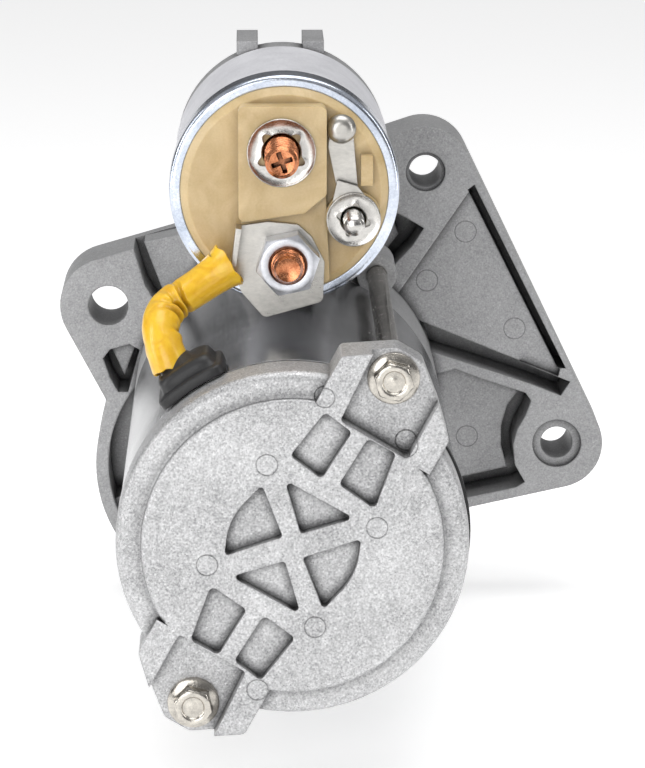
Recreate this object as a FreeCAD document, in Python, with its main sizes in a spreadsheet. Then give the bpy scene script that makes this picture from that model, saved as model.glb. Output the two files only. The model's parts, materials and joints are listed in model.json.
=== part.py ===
"""Pre-engaged starter motor with a planetary reduction gear, in millimetres.

The motor axis is the Y axis. The mounting face of the drive housing lies on Y = 0, the
pinion points to +Y, the rear cover faces -Y and the solenoid lies above the motor (+Z).
"""
import FreeCAD
import Part
import Sketcher
import math
import os
import re

os.makedirs("parts", exist_ok=True)
doc = FreeCAD.newDocument("StarterMotor")

# ---------------------------------------------------------------- driving sizes
sizes = {
    # casing along the motor axis
    "flange_thickness": 20, "drum_length": 31, "yoke_length": 103, "gasket_thickness": 2.5,
    "cover_depth": 13.5, "cover_step": 1.9, "cover_wall": 3.5, "cover_face_wall": 4.5,
    "yoke_radius": 39.5, "yoke_wall": 3.5, "cover_overhang": 0.3, "ridge_inset": 5.5,
    "seat_gap": 0.1, "running_gap": 0.05, "free_gap": 0.3,
    # drive housing
    "lug_radius": 12, "bore_a_radius": 5.25, "bore_tapped_radius": 4.25,
    "lug_a_x": -46.4, "lug_a_z": 23.5, "lug_b_x": 36.2, "lug_b_z": 58.6,
    "lug_c_x": 71.3, "lug_c_z": -14.1, "skin": 5, "chamber_radius": 30,
    "pilot_radius": 38, "pilot_length": 6, "nose_root_radius": 31, "nose_tip_radius": 17,
    "nose_length": 52, "nose_wall": 4, "pinion_chamber_radius": 19.5,
    # through bolts
    "bolt_x": 22.6, "bolt_z": 37.7, "bolt_radius": 2.5, "bolt_clearance": 0.3,
    "bolt_flange_radius": 5.9, "bolt_flange_thickness": 1.4, "bolt_head_flats": 8,
    "bolt_head_height": 5, "bolt_pad_depth": 5.2, "bolt_boss_radius": 5, "bolt_thread_length": 14,
    # solenoid
    "sol_x": -1.3, "sol_z": 72.8, "can_radius": 26, "can_wall": 2, "can_length": 50.5,
    "crimp_radius": 26.7, "crimp_height": 5.4, "tower_length": 50.5, "can_front_wall": 4,
    "cap_flange_radius": 25.2, "turret_height": 5, "plunger_radius": 9,
    "plunger_length": 52.5, "core_thickness": 5, "core_boss_length": 9,
    "bobbin_wall": 1, "coil_split_radius": 16.6, "coil_radius": 22.6, "rod_radius": 2.8,
    "battery_x": -0.7, "battery_z": 9.9, "motor_post_x": 0.7, "motor_post_z": -15.7,
    "post_radius": 3.9, "battery_post_length": 14, "motor_post_length": 12.6, "shank_swell": 0.45,
    "signal_x": 15.9, "signal_z": -6.1, "signal_post_radius": 2.45, "signal_post_length": 9.6,
    "washer_radius": 8, "washer_thickness": 1.2, "nut_flats": 13, "nut_height": 6.4,
    "plate_thickness": 1.2, "strip_thickness": 0.8, "lead_radius": 4.4,
    # armature and field
    "shaft_radius": 5, "core_radius": 26.4, "core_length": 42, "slot_count": 14,
    "commutator_radius": 14, "commutator_length": 16.5, "bar_count": 28,
    "magnet_thickness": 8.2, "magnet_length": 50, "magnet_angle": 44, "magnet_count": 6,
    "brush_width": 7, "brush_length": 10, "brush_height": 12, "bush_wall": 2,
    # planetary gear
    "gear_module": 1.25, "sun_teeth": 12, "planet_teeth": 18, "gear_width": 11,
    "tooth_play": 0.12, "planet_pin_radius": 3, "carrier_radius": 24.5, "carrier_thickness": 5,
    # drive shaft, clutch and pinion
    "drive_radius": 6.5, "pinion_module": 2.5, "pinion_teeth": 11, "pinion_width": 14,
    "pinion_rest": 4, "pinion_travel": 14.55, "race_radius": 21, "roller_radius": 1.72,
    "roller_count": 5, "sleeve_radius": 9.5, "collar_radius": 17, "groove_half": 3.7,
    "groove_y": -32,
    # shift lever
    "pivot_y": -48, "pivot_z": 45, "pivot_radius": 2.5, "lever_top_y": -43.5,
    "fork_pad_z": -3.7, "fork_pad_radius": 3, "fork_gap": 1.5, "fork_arm": 5.5,
    "tongue_width": 4.8, "lever_tip_radius": 4.4, "lever_arm": 4.8,
}
sheet = doc.addObject("Spreadsheet::Sheet", "Sizes")
for row, (name, value) in enumerate(sizes.items(), start=1):
    sheet.set("A%d" % row, name)
    sheet.set("B%d" % row, str(value))
    sheet.setAlias("B%d" % row, name)
doc.recompute()

functions = {"sqrt", "sin", "cos", "tan", "atan2"}


def expression(text):
    """The text with the sheet's name in front of each of its aliases."""
    return re.sub(r"[a-z_][a-z_0-9]*",
                  lambda word: word[0] if word[0] in functions else "Sizes." + word[0], str(text))


def size(text):
    """The number that an expression on the sheet's aliases gives."""
    return float(sheet.evalExpression(expression(text)))


def bind(item, field, text):
    item.setExpression(field, expression(text))


# ---------------------------------------------------------------- places along the motor axis
flangeRear = "(-flange_thickness)"
yokeFront = "(-flange_thickness - drum_length)"
yokeRear = "(-flange_thickness - drum_length - yoke_length)"
coverFront = "(" + yokeRear + " - gasket_thickness)"
coverFace = "(" + coverFront + " - cover_depth)"
yokeBore = "(yoke_radius - yoke_wall)"
coverRadius = "(yoke_radius + cover_overhang)"
canFront = "(-flange_thickness - tower_length)"
canRear = "(" + canFront + " - can_length)"

# ---------------------------------------------------------------- sketch helpers
pieces = []
planeRoles = {"XY": "XY_Plane", "XZ": "XZ_Plane", "YZ": "YZ_Plane"}


def newBody(label, x="0", y="0", z="0"):
    """An empty body whose place is bound to the sheet."""
    body = doc.addObject("PartDesign::Body", label)
    body.Label = label
    body.AllowCompound = True
    for axis, text in zip("xyz", (x, y, z)):
        if str(text) != "0":
            bind(body, "Placement.Base." + axis, text)
    pieces.append(body)
    return body


def newSketch(body, plane, height="0"):
    """A sketch on one of the body's own planes, moved along the plane's normal."""
    sketch = body.newObject("Sketcher::SketchObject", body.Label + "_sketch")
    role = planeRoles[plane]
    origin = [item for item in body.Origin.OriginFeatures if item.Role == role][0]
    sketch.AttachmentSupport = [(origin, "")]
    sketch.MapMode = "FlatFace"
    if str(height) != "0":
        bind(sketch, "AttachmentOffset.Base.z", height if plane != "XZ" else "-(%s)" % height)
    return sketch


def place(sketch, geometry, point, x, y):
    """Holds one point of the sketch at the place given by two expressions."""
    for kind, text in (("DistanceX", x), ("DistanceY", y)):
        index = sketch.addConstraint(Sketcher.Constraint(kind, -1, 1, geometry, point, size(text)))
        bind(sketch, "Constraints[%d]" % index, text)


def hold(sketch, kind, geometry, text):
    index = sketch.addConstraint(Sketcher.Constraint(kind, geometry, size(text)))
    bind(sketch, "Constraints[%d]" % index, text)


def disc(sketch, x, y, radius):
    """A whole circle."""
    circle = Part.Circle(FreeCAD.Vector(size(x), size(y), 0), FreeCAD.Vector(0, 0, 1), size(radius))
    index = sketch.addGeometry(circle, False)
    place(sketch, index, 3, x, y)
    hold(sketch, "Radius", index, radius)


def belt(sketch, rounds):
    """A closed outline round a row of circles (x, y, radius), anticlockwise.

    Straight lines touch each circle and the next. A negative radius turns the outline the other
    way, as in an inner corner, and a radius of 0 is a sharp corner.
    """
    count = len(rounds)
    spots = [(FreeCAD.Vector(size(x), size(y), 0), size(r)) for x, y, r in rounds]
    touches = []
    for index in range(count):
        (start, startRadius), (end, endRadius) = spots[index], spots[(index + 1) % count]
        along = end - start
        share = (startRadius - endRadius) / along.Length
        along.normalize()
        across = FreeCAD.Vector(along.y, -along.x, 0)
        normal = along * share + across * math.sqrt(1 - share * share)
        touches.append((start + normal * startRadius, end + normal * endRadius))
    lines = [sketch.addGeometry(Part.LineSegment(a, b), False) for a, b in touches]
    for index, (centre, radius) in enumerate(spots):
        x, y, r = rounds[index]
        before, after = lines[index - 1], lines[index]
        if radius == 0:
            sketch.addConstraint(Sketcher.Constraint("Coincident", before, 2, after, 1))
            place(sketch, after, 1, x, y)
            continue
        first, last = touches[index - 1][1] - centre, touches[index][0] - centre
        if radius < 0:
            first, last = last, first
        circle = Part.Circle(centre, FreeCAD.Vector(0, 0, 1), abs(radius))
        low, high = math.atan2(first.y, first.x), math.atan2(last.y, last.x)
        arc = sketch.addGeometry(Part.ArcOfCircle(circle, low, high), False)
        head, tail = (1, 2) if radius > 0 else (2, 1)
        place(sketch, arc, 3, x, y)
        hold(sketch, "Radius", arc, r if radius > 0 else "-(%s)" % r)
        sketch.addConstraint(Sketcher.Constraint("Tangent", before, 2, arc, head))
        sketch.addConstraint(Sketcher.Constraint("Tangent", arc, tail, after, 1))


def polygon(sketch, corners):
    belt(sketch, [(x, y, "0") for x, y in corners])


def box(sketch, x1, y1, x2, y2):
    polygon(sketch, [(x1, y1), (x2, y1), (x2, y2), (x1, y2)])


def pad(body, plane, low, high, draw, *data):
    """Adds the drawn outline from low to high along the plane's normal (+X, +Y or +Z)."""
    sketch = newSketch(body, plane, low)
    draw(sketch, *data)
    feature = body.newObject("PartDesign::Pad", body.Label + "_pad")
    feature.Profile = sketch
    feature.Reversed = plane == "XZ"
    bind(feature, "Length", "(%s) - (%s)" % (high, low))
    return feature


def cut(body, plane, low, high, draw, *data):
    """Cuts the drawn outline away from low to high along the plane's normal."""
    sketch = newSketch(body, plane, low)
    draw(sketch, *data)
    feature = body.newObject("PartDesign::Pocket", body.Label + "_pocket")
    feature.Profile = sketch
    feature.Reversed = plane != "XZ"
    bind(feature, "Length", "(%s) - (%s)" % (high, low))
    return feature


def turn(body, draw, *data, kind="Revolution"):
    """Turns the outline, drawn as (radius, place along the axis), about the body's Y axis."""
    sketch = newSketch(body, "XY")
    draw(sketch, *data)
    feature = body.newObject("PartDesign::" + kind, body.Label + "_turned")
    feature.Profile = sketch
    feature.ReferenceAxis = (sketch, ["V_Axis"])
    feature.Angle = 360
    return feature


def around(body, feature, count, angle="360"):
    """Repeats a feature round the body's Y axis."""
    doc.recompute()
    pattern = body.newObject("PartDesign::PolarPattern", body.Label + "_pattern")
    pattern.Originals = feature if isinstance(feature, list) else [feature]
    axis = [item for item in body.Origin.OriginFeatures if item.Role == "Y_Axis"][0]
    pattern.Axis = (axis, [""])
    pattern.Angle = size(angle)
    bind(pattern, "Occurrences", count)
    body.Tip = pattern
    return pattern


def ringBody(label, inner, outer, low, high, x="0", z="0"):
    """A plain ring, or a disc where inner is 0, about an axis along Y."""
    body = newBody(label, x, "0", z)
    turn(body, box, inner, low, outer, high)
    return body


def solidPiece(label, shape):
    """A piece whose shape comes from Part's own functions."""
    piece = doc.addObject("Part::Feature", label)
    piece.Label = label
    piece.Shape = shape
    pieces.append(piece)
    return piece


# ---------------------------------------------------------------- gears and springs
def involutePoint(baseRadius, radius, turned):
    """A point of an involute at a radius, its start turned by an angle."""
    roll = math.sqrt(max(radius * radius / baseRadius / baseRadius - 1, 0))
    angle = turned + roll - math.atan(roll)
    return angle


def gearFace(teeth, module, root, tip, play, inner=False):
    """The outline of a spur gear with one tooth centred on +X (a gap there on an inner gear).

    Each flank is an involute on the 20 degree pressure line; play is taken off the tooth (or added
    to the gap of an inner gear) along the pitch circle.
    """
    pitch = module * teeth / 2
    base = pitch * math.cos(math.radians(20))
    flankAtPitch = involutePoint(base, pitch, 0)
    half = math.pi / 2 / teeth + (play if inner else -play) / 2 / pitch
    start = max(root, base)
    radii = [start + (tip - start) * step / 5 for step in range(6)]
    turnedBy = half + flankAtPitch
    rootAngle = turnedBy - involutePoint(base, start, 0)
    edges = []
    step = 2 * math.pi / teeth

    def spot(radius, angle):
        return FreeCAD.Vector(radius * math.cos(angle), radius * math.sin(angle), 0)

    for tooth in range(teeth):
        middle = tooth * step
        right = [spot(r, middle - turnedBy + involutePoint(base, r, 0)) for r in radii]
        left = [spot(r, middle + turnedBy - involutePoint(base, r, 0)) for r in reversed(radii)]
        rootRight = spot(root, middle - rootAngle)
        rootLeft = spot(root, middle + rootAngle)
        if start - root > 1e-6:
            edges.append(Part.LineSegment(rootRight, right[0]).toShape())
        for flank in (right, left):
            curve = Part.BSplineCurve()
            curve.interpolate(flank)
            edges.append(curve.toShape())
            if flank is right:
                edges.append(Part.Arc(right[-1], spot(tip, middle), left[0]).toShape())
        if start - root > 1e-6:
            edges.append(Part.LineSegment(left[-1], rootLeft).toShape())
        nextRight = spot(root, middle + step - rootAngle)
        edges.append(Part.Arc(rootLeft, spot(root, middle + step / 2), nextRight).toShape())
    return Part.Face(Part.Wire(edges))


def alongY(face, low, high):
    """A face in the XY plane, turned to face +Y and extruded from low to high."""
    shape = face.extrude(FreeCAD.Vector(0, 0, high - low))
    shape.rotate(FreeCAD.Vector(), FreeCAD.Vector(1, 0, 0), -90)
    shape.translate(FreeCAD.Vector(0, low, 0))
    return shape


def rod(radius, low, high, x=0, z=0):
    """A cylinder along Y."""
    return Part.makeCylinder(radius, high - low, FreeCAD.Vector(x, low, z), FreeCAD.Vector(0, 1, 0))


def coil(wire, radius, low, high, turns, x=0, z=0):
    """A round-wire compression spring along Y."""
    pitch = (high - low - 2 * wire) / turns
    helix = Part.makeLongHelix(pitch, high - low - 2 * wire, radius)
    along = FreeCAD.Vector(0, 2 * math.pi * radius, pitch)
    section = Part.Wire(Part.makeCircle(wire, FreeCAD.Vector(radius, 0, 0), along))
    shape = Part.Wire(helix).makePipeShell([section], True, True)
    shape.rotate(FreeCAD.Vector(), FreeCAD.Vector(1, 0, 0), -90)
    shape.translate(FreeCAD.Vector(x, low + wire, z))
    return shape


# ---------------------------------------------------------------- yoke, gasket and rear cover
ringBody("yoke", yokeBore, "yoke_radius", yokeRear, yokeFront)

gasket = newBody("cover_gasket")
pad(gasket, "XZ", coverFront, yokeRear, disc, "2.6", "0", "yoke_radius - 1.5")
cut(gasket, "XZ", coverFront, yokeRear, disc, "0", "0", "yoke_radius - 6")

bushRear = "(" + coverFace + " + 4.5)"
hubFront = "(" + coverFace + " + 13)"
hubRadius = "(shaft_radius + bush_wall + 3)"
bushRadius = "(shaft_radius + bush_wall)"
boltCircle = "sqrt(bolt_x * bolt_x + bolt_z * bolt_z)"


def byBolt(u, v):
    """A place on the cover: u out along the line to the bolt, v across it."""
    return ("((%s) * bolt_x - (%s) * bolt_z) / %s" % (u, v, boltCircle),
            "((%s) * bolt_z + (%s) * bolt_x) / %s" % (u, v, boltCircle))


def byBoltRounds(rounds):
    return [byBolt(u, v) + (r,) for u, v, r in rounds]


def bolts(sketch, radius):
    disc(sketch, "bolt_x", "bolt_z", radius)
    disc(sketch, "-bolt_x", "-bolt_z", radius)


cover = newBody("rear_cover")
turn(cover, belt, [
    ("0", coverFace, "0"),
    ("yoke_radius - ridge_inset - 0.9", coverFace + " + 0.9", "0.9"),
    ("yoke_radius - ridge_inset + 0.6", coverFace + " + cover_step - 0.6", "-0.6"),
    (coverRadius + " - 2.4", coverFace + " + cover_step + 2.4", "2.4"),
    (coverRadius, coverFront, "0"),
    (coverRadius + " - cover_wall", coverFront, "0"),
    (coverRadius + " - cover_wall", coverFace + " + 8", "0"),
    ("yoke_radius - ridge_inset - 3", coverFace + " + cover_face_wall", "0"),
    (hubRadius, coverFace + " + cover_face_wall", "0"),
    (hubRadius, hubFront, "0"),
    (bushRadius, hubFront, "0"),
    (bushRadius, bushRear, "0"),
    ("0", bushRear, "0"),
])
ear = pad(cover, "XZ", coverFace, coverFront, belt, byBoltRounds([
    ("30", "-17.6", "0"), ("38", "-15.4", "2"), (boltCircle + " - 1.2", "-10.3", "2"),
    (boltCircle + " + 4", "-3", "2.4"), (boltCircle + " + 4", "2", "2.4"),
    (boltCircle + " - 1.5", "11.6", "1.5"), ("30", "12.6", "0")]))
bearing = cut(cover, "XZ", coverFace + " - 1", coverFace + " + bolt_pad_depth", belt, byBoltRounds([
    ("31.4", "-10.6", "1"), (boltCircle + " + 12", "-10.6", "0"),
    (boltCircle + " + 12", "6.4", "0"), (boltCircle + " + 3", "6.4", "1"),
    ("31.4", "5", "1")]))
around(cover, [ear, bearing], "2")
cut(cover, "XZ", coverFace + " - 1", coverFront, bolts, "bolt_radius + bolt_clearance")
coverPockets = [
    [("6.2", "17.5", "1.2"), ("11.7", "26.2", "1.2"), ("7.45", "29.5", "1.2"), ("1.1", "21.4", "1.2")],
    [("17.8", "10.6", "1.2"), ("21.6", "21", "1.2"), ("17.2", "23.5", "1.2"), ("11.9", "14.8", "1.2")],
    [("2.3", "4.1", "0.8"), ("11.9", "6.9", "0.8"), ("-0.5", "14", "0.8")],
    [("-3.2", "2.9", "0.8"), ("-7.1", "13.1", "0.8"), ("0", "0", "15"), ("-14.4", "-0.8", "0.8")],
]


def loops(sketch, outlines):
    for rounds in outlines:
        belt(sketch, rounds)


pockets = cut(cover, "XZ", coverFace + " - 1", coverFace + " + 2.8", loops, coverPockets)
around(cover, [pockets], "2")

ringBody("rear_bush", "shaft_radius + running_gap", bushRadius, bushRear, hubFront)

# ---------------------------------------------------------------- through bolts
throughBolts = newBody("through_bolts")
boltSeat = "(" + coverFace + " + bolt_pad_depth)"
boltTip = "(" + yokeFront + " + bolt_thread_length)"
pad(throughBolts, "XZ", boltSeat + " - bolt_flange_thickness", boltSeat, bolts, "bolt_flange_radius")
pad(throughBolts, "XZ", boltSeat + " - bolt_flange_thickness", boltTip, bolts, "bolt_radius")


def hexagon(x, y, flats):
    """The six corners of a hexagon, as sharp rounds of a belt."""
    corner = "(%s) / 1.7320508" % flats
    return [("(%s) + %s * %.6f" % (x, corner, math.cos(math.radians(60 * k + 15))),
             "(%s) + %s * %.6f" % (y, corner, math.sin(math.radians(60 * k + 15))), "0")
            for k in range(6)]


pad(throughBolts, "XZ", boltSeat + " - bolt_head_height", boltSeat + " - bolt_flange_thickness", loops,
    [hexagon("bolt_x", "bolt_z", "bolt_head_flats"), hexagon("-bolt_x", "-bolt_z", "bolt_head_flats")])

# ---------------------------------------------------------------- drive housing
housing = newBody("drive_housing")
pad(housing, "XZ", flangeRear, "0", belt, [
    ("lug_c_x", "lug_c_z", "lug_radius"), ("lug_b_x", "lug_b_z", "lug_radius"),
    ("22", "76", "-9"), ("sol_x", "sol_z", "14"), ("-24", "53.5", "-10"),
    ("lug_a_x", "lug_a_z", "lug_radius + 0.6"), ("-50.3", "-2.5", "-3"),
    ("-12.7", "-19.4", "37.5"), ("38", "-48", "-14")])
webFloor = "-skin"
rimGroove = [("48.9", "55.2"), ("47.2", "53.9"), ("71.2", "6.2"), ("73.4", "6.2")]
channel = [("30", "13"), ("36.4", "11.3"), ("45.6", "8.3"), ("56.1", "4.8"), ("64", "2.1"),
           ("72.2", "-1.2"), ("74.6", "2.6"), ("61.3", "8"), ("48.2", "13.4"), ("35", "18.8"),
           ("27.5", "25.5")]
ribPocket = [("36", "4"), ("30", "-33"), ("46", "-29.2"), ("60.7", "-26.1"), ("63", "-24.6"),
             ("60.4", "-20"), ("59.8", "-14.5"), ("60.8", "-10.4"), ("63.1", "-6.3"),
             ("64.4", "-2.6"), ("63", "-0.4"), ("50.9", "3.7"), ("44.3", "6.2")]
topPocket = [("20", "40"), ("28", "33.8"), ("33", "39.1"), ("35.9", "43.8"), ("29.6", "47.5"),
             ("20", "50")]
leftPocket = [("-36.8", "28.9"), ("-33", "22.5"), ("-22", "25"), ("-22", "43.9"), ("-39.8", "39.2")]
smallPocket = [("-44.1", "0.3"), ("-41.5", "0.3"), ("-38.3", "11.6"), ("-40.9", "13.2"),
               ("-46.1", "11.8"), ("-48", "9.4"), ("-46.2", "4.1")]
for corners in (rimGroove[::-1], channel, ribPocket, topPocket, leftPocket, smallPocket):
    cut(housing, "XZ", flangeRear + " - 1", webFloor, polygon, corners)
cut(housing, "XZ", flangeRear + " - 1", webFloor, disc, "-12.7", "-19.4", "34.2")
cut(housing, "XZ", flangeRear + " - 1", flangeRear + " + 1.8", polygon,
    [("28.9", "26"), ("29", "24.7"), ("35", "18.8"), ("48.2", "13.4"), ("61.3", "8"),
     ("71.4", "4"), ("71.9", "5.8"), ("47.8", "53.8")])
lowPad = [("30", "5"), ("30", "-28.5"), ("46.7", "-24.6"), ("58.6", "-21.9"), ("57", "-16"),
          ("57", "-10.5"), ("58.5", "-5"), ("61.1", "-1.5"), ("60", "0"), ("44", "5.6")]
pad(housing, "XZ", flangeRear + " + 6", webFloor, polygon, lowPad)
topPad = [("19", "41"), ("26.2", "36.6"), ("29.5", "41"), ("27.5", "46"), ("19", "49")]
pad(housing, "XZ", flangeRear + " + 7", webFloor, polygon, topPad)
leftPad = [("-32.2", "26.5"), ("-21", "24"), ("-21", "43"), ("-37", "39.3"), ("-34.2", "31.6")]
pad(housing, "XZ", flangeRear + " + 5", webFloor, polygon, leftPad)
smallPad = [("-42.6", "3.6"), ("-39.4", "12.2"), ("-45.8", "10.8")]
pad(housing, "XZ", flangeRear + " + 6", webFloor, polygon, smallPad)
for corners in ([("-48.5", "-31"), ("-47", "-33.5"), ("-30", "-24"), ("-31", "-22")],
                [("-27.5", "-52"), ("-25", "-53.4"), ("-15", "-36"), ("-17.5", "-35")]):
    pad(housing, "XZ", flangeRear + " + 3", webFloor, polygon, corners)

# drum, bolt bosses, solenoid seat with its posts, lever tower
pad(housing, "XZ", yokeFront, "0", disc, "0", "0", "yoke_radius")
pad(housing, "XZ", yokeFront, boltTip + " + 3", bolts, "bolt_boss_radius")
seatFront = "(" + canFront + " + 8.5)"
pad(housing, "XZ", canFront, seatFront, disc, "sol_x", "sol_z", "can_radius - 0.2")
pad(housing, "XZ", canFront, flangeRear, disc, "sol_x", "sol_z", "19")
for left in ("-12.4", "3.7"):
    pad(housing, "XZ", canFront + " + 0.5", seatFront + " + 12", box, left, "sol_z + 15",
        left + " + 5.2", "sol_z + 27.1")
pad(housing, "XZ", canFront + " + 10", flangeRear, box, "-14", "yoke_radius + 0.8", "14", "sol_z")
pad(housing, "XZ", yokeFront, flangeRear, box, "-14", "25", "14", "sol_z")

# pilot and nose
turn(housing, belt, [
    ("0", "-1", "0"), ("pilot_radius", "-1", "0"), ("pilot_radius", "pilot_length - 1", "0"),
    ("pilot_radius - 1", "pilot_length", "0"), ("nose_root_radius", "pilot_length", "0"),
    ("nose_root_radius - 4", "22", "0"), ("pinion_chamber_radius + nose_wall + 0.5", "27", "0"),
    ("pinion_chamber_radius + nose_wall", "nose_length - 12", "0"),
    ("nose_tip_radius - 3", "nose_length - 3", "3"), ("0", "nose_length", "0")])
bushSeat = "(drive_radius + bush_wall)"
noseBushRear = "(nose_length - 11)"
clutchBore = "(race_radius + 3)"
turn(housing, polygon, [
    ("0", yokeFront + " - 1"), (yokeBore, yokeFront + " - 1"), (yokeBore, yokeFront + " + 1.2"),
    ("chamber_radius", yokeFront + " + 1.2"), ("chamber_radius", "-3"), (clutchBore, "0"),
    (clutchBore, "19.5"), ("pinion_chamber_radius", "21"), ("pinion_chamber_radius", noseBushRear),
    (bushSeat, noseBushRear), (bushSeat, "nose_length - 2.5"), ("0", "nose_length - 2.5")],
    kind="Groove")


def window(sketch):
    """The side of the nose that faces the ring gear, open from 9 mm off the axis."""
    turned = math.radians(237)
    for_ring = [(9, -21), (60, -30), (60, 30), (9, 21)]
    polygon(sketch, [("%.4f" % (u * math.cos(turned) - v * math.sin(turned)),
                      "%.4f" % (u * math.sin(turned) + v * math.cos(turned))) for u, v in for_ring])


cut(housing, "XZ", "pilot_length + 3", noseBushRear + " - 2.5", window)

# solenoid cavity, lever slot, holes
cut(housing, "XZ", canFront + " - 1", "-30", disc, "sol_x", "sol_z", "15")
cut(housing, "XZ", yokeFront + " - 1", "-28", box, "-8.5", "18", "8.5", "sol_z")
cut(housing, "XZ", yokeFront + " + 2", "-28", box, "-13.5", "18", "13.5", "33")
cut(housing, "XZ", canFront + " + 9", "-28", box, "-8.5", "yoke_radius", "8.5", "sol_z")
cut(housing, "XZ", flangeRear + " - 1", "1", disc, "lug_a_x", "lug_a_z", "bore_a_radius")
for lug, mouth in (("b", "0.9"), ("c", "2.2")):
    spot = ("lug_%s_x" % lug, "lug_%s_z" % lug)
    cut(housing, "XZ", flangeRear + " - 1", "1", disc, *spot, "bore_tapped_radius")
    cut(housing, "XZ", flangeRear + " - 1", flangeRear + " + 1.2", disc, *spot,
        "bore_tapped_radius + " + mouth)
cut(housing, "XZ", yokeFront + " - 1", boltTip + " + 1", bolts, "bolt_radius + running_gap")
cut(housing, "YZ", "-15", "15", disc, "pivot_y", "pivot_z", "pivot_radius")
screwAngles = (90, 215, 325)
screwCircle = 20.8


def screwDiscs(sketch, radius):
    for degrees in screwAngles:
        disc(sketch, "sol_x + %.4f" % (screwCircle * math.cos(math.radians(degrees))),
             "sol_z + %.4f" % (screwCircle * math.sin(math.radians(degrees))), radius)


cut(housing, "XZ", canFront + " - 1", seatFront + " + 9", screwDiscs, "4.4")
pad(housing, "XZ", canFront, seatFront, screwDiscs, "4.4")
cut(housing, "XZ", canFront + " - 1", seatFront + " + 1", screwDiscs, "2.3")

screws = newBody("solenoid_screws")
pad(screws, "XZ", canFront + " - 3", seatFront + " + 0.2", screwDiscs, "2.2")
pad(screws, "XZ", seatFront, seatFront + " + 3", screwDiscs, "4")

ringBody("nose_bush", "drive_radius + running_gap", bushSeat, noseBushRear, "nose_length - 3")

# ---------------------------------------------------------------- armature
commutatorRear = "(" + coverFace + " + 20.5)"
commutatorFront = "(" + commutatorRear + " + commutator_length)"
coreRear = "(" + commutatorFront + " + 8)"
coreFront = "(" + coreRear + " + core_length)"
plateRear = "(" + yokeRear + " + 0.5)"
plateFront = "(" + plateRear + " + 3)"
gearCaseRear = "(" + yokeFront + " - 21.5)"
gearRear = "(" + gearCaseRear + " + 1)"
gearFront = "(" + gearRear + " + gear_width)"
carrierRear = "(" + gearFront + " + 0.6)"
carrierFront = "(" + carrierRear + " + carrier_thickness)"
pilotRadius = "(shaft_radius - 1.5)"
pilotBushRadius = "(shaft_radius + 0.5)"
pilotDepth = "(" + carrierRear + " + 7.6)"

shaft = newBody("armature_shaft")
turn(shaft, polygon, [
    ("0", bushRear + " + 0.3"), ("shaft_radius - 0.6", bushRear + " + 0.3"),
    ("shaft_radius", bushRear + " + 0.9"), ("shaft_radius", carrierRear + " - 0.2"),
    (pilotRadius, carrierRear + " - 0.2"), (pilotRadius, pilotDepth + " - 0.6"),
    ("0", pilotDepth + " - 0.6")])

core = newBody("armature_core")
turn(core, box, "shaft_radius", coreRear, "core_radius", coreFront)


def slotCut(sketch, inset):
    """A winding slot with its narrow mouth, inset all round by the insulation."""
    belt(sketch, [("core_radius - 11.5", "0", "1.1 - %s" % inset),
                  ("core_radius - 3.4", "1.1", "1.3 - %s" % inset),
                  ("core_radius - 3.4", "-1.1", "1.3 - %s" % inset)][::-1])


def slotWithMouth(sketch):
    slotCut(sketch, "0")


slot = cut(core, "XZ", coreRear + " - 1", coreFront + " + 1", slotWithMouth)
mouth = cut(core, "XZ", coreRear + " - 1", coreFront + " + 1", box,
            "core_radius - 3.4", "-0.8", "core_radius + 1", "0.8")
around(core, [slot, mouth], "slot_count")

windings = newBody("armature_windings")
turn(windings, belt, [
    ("shaft_radius + 5", coreRear + " - 4.4", "1.5"), ("core_radius - 4", coreRear + " - 4.4", "1.5"),
    ("core_radius - 4", coreRear + " - 1.6", "1.5"), ("shaft_radius + 5", coreRear + " - 1.6", "1.5")])
bars = pad(windings, "XZ", coreRear + " - 1.6", coreFront + " + 1.6", slotCut, "0.15")
around(windings, bars, "slot_count")
turn(windings, belt, [
    ("shaft_radius + 5", coreFront + " + 1.6", "1.5"), ("core_radius - 4", coreFront + " + 1.6", "1.5"),
    ("core_radius - 4", coreFront + " + 3.9", "1.5"), ("shaft_radius + 5", coreFront + " + 3.9", "1.5")])

commutator = newBody("commutator")
turn(commutator, polygon, [
    ("shaft_radius", commutatorRear), ("commutator_radius", commutatorRear),
    ("commutator_radius", commutatorFront + " - 2.2"),
    ("commutator_radius + 3.2", commutatorFront + " - 2.2"),
    ("commutator_radius + 3.2", commutatorFront), ("shaft_radius", commutatorFront)])
barGap = cut(commutator, "XZ", commutatorRear + " - 1", commutatorFront + " + 1", box,
             "commutator_radius - 1.1", "-0.3", "commutator_radius + 5", "0.3")
around(commutator, barGap, "bar_count")

# ---------------------------------------------------------------- field
magnetRear = "(" + coreRear + " - 4)"
magnetOuter = "(" + yokeBore + " - 0.05)"
magnets = newBody("field_magnets")
magnet = turn(magnets, box, magnetOuter + " - magnet_thickness", magnetRear, magnetOuter,
              magnetRear + " + magnet_length")
magnet.Midplane = True
bind(magnet, "Angle", "magnet_angle")
around(magnets, magnet, "magnet_count")

clips = newBody("magnet_clips")
clip = turn(clips, box, magnetOuter + " - 1.4", magnetRear + " + 1", magnetOuter,
            magnetRear + " + magnet_length - 1")
clip.Midplane = True
bind(clip, "Angle", "360 / magnet_count - magnet_angle - 1.5")
around(clips, clip, "magnet_count")
turnedHalf = FreeCAD.Rotation(FreeCAD.Vector(0, 1, 0), 180 / size("magnet_count"))
clips.Placement = FreeCAD.Placement(FreeCAD.Vector(), turnedHalf)

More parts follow.
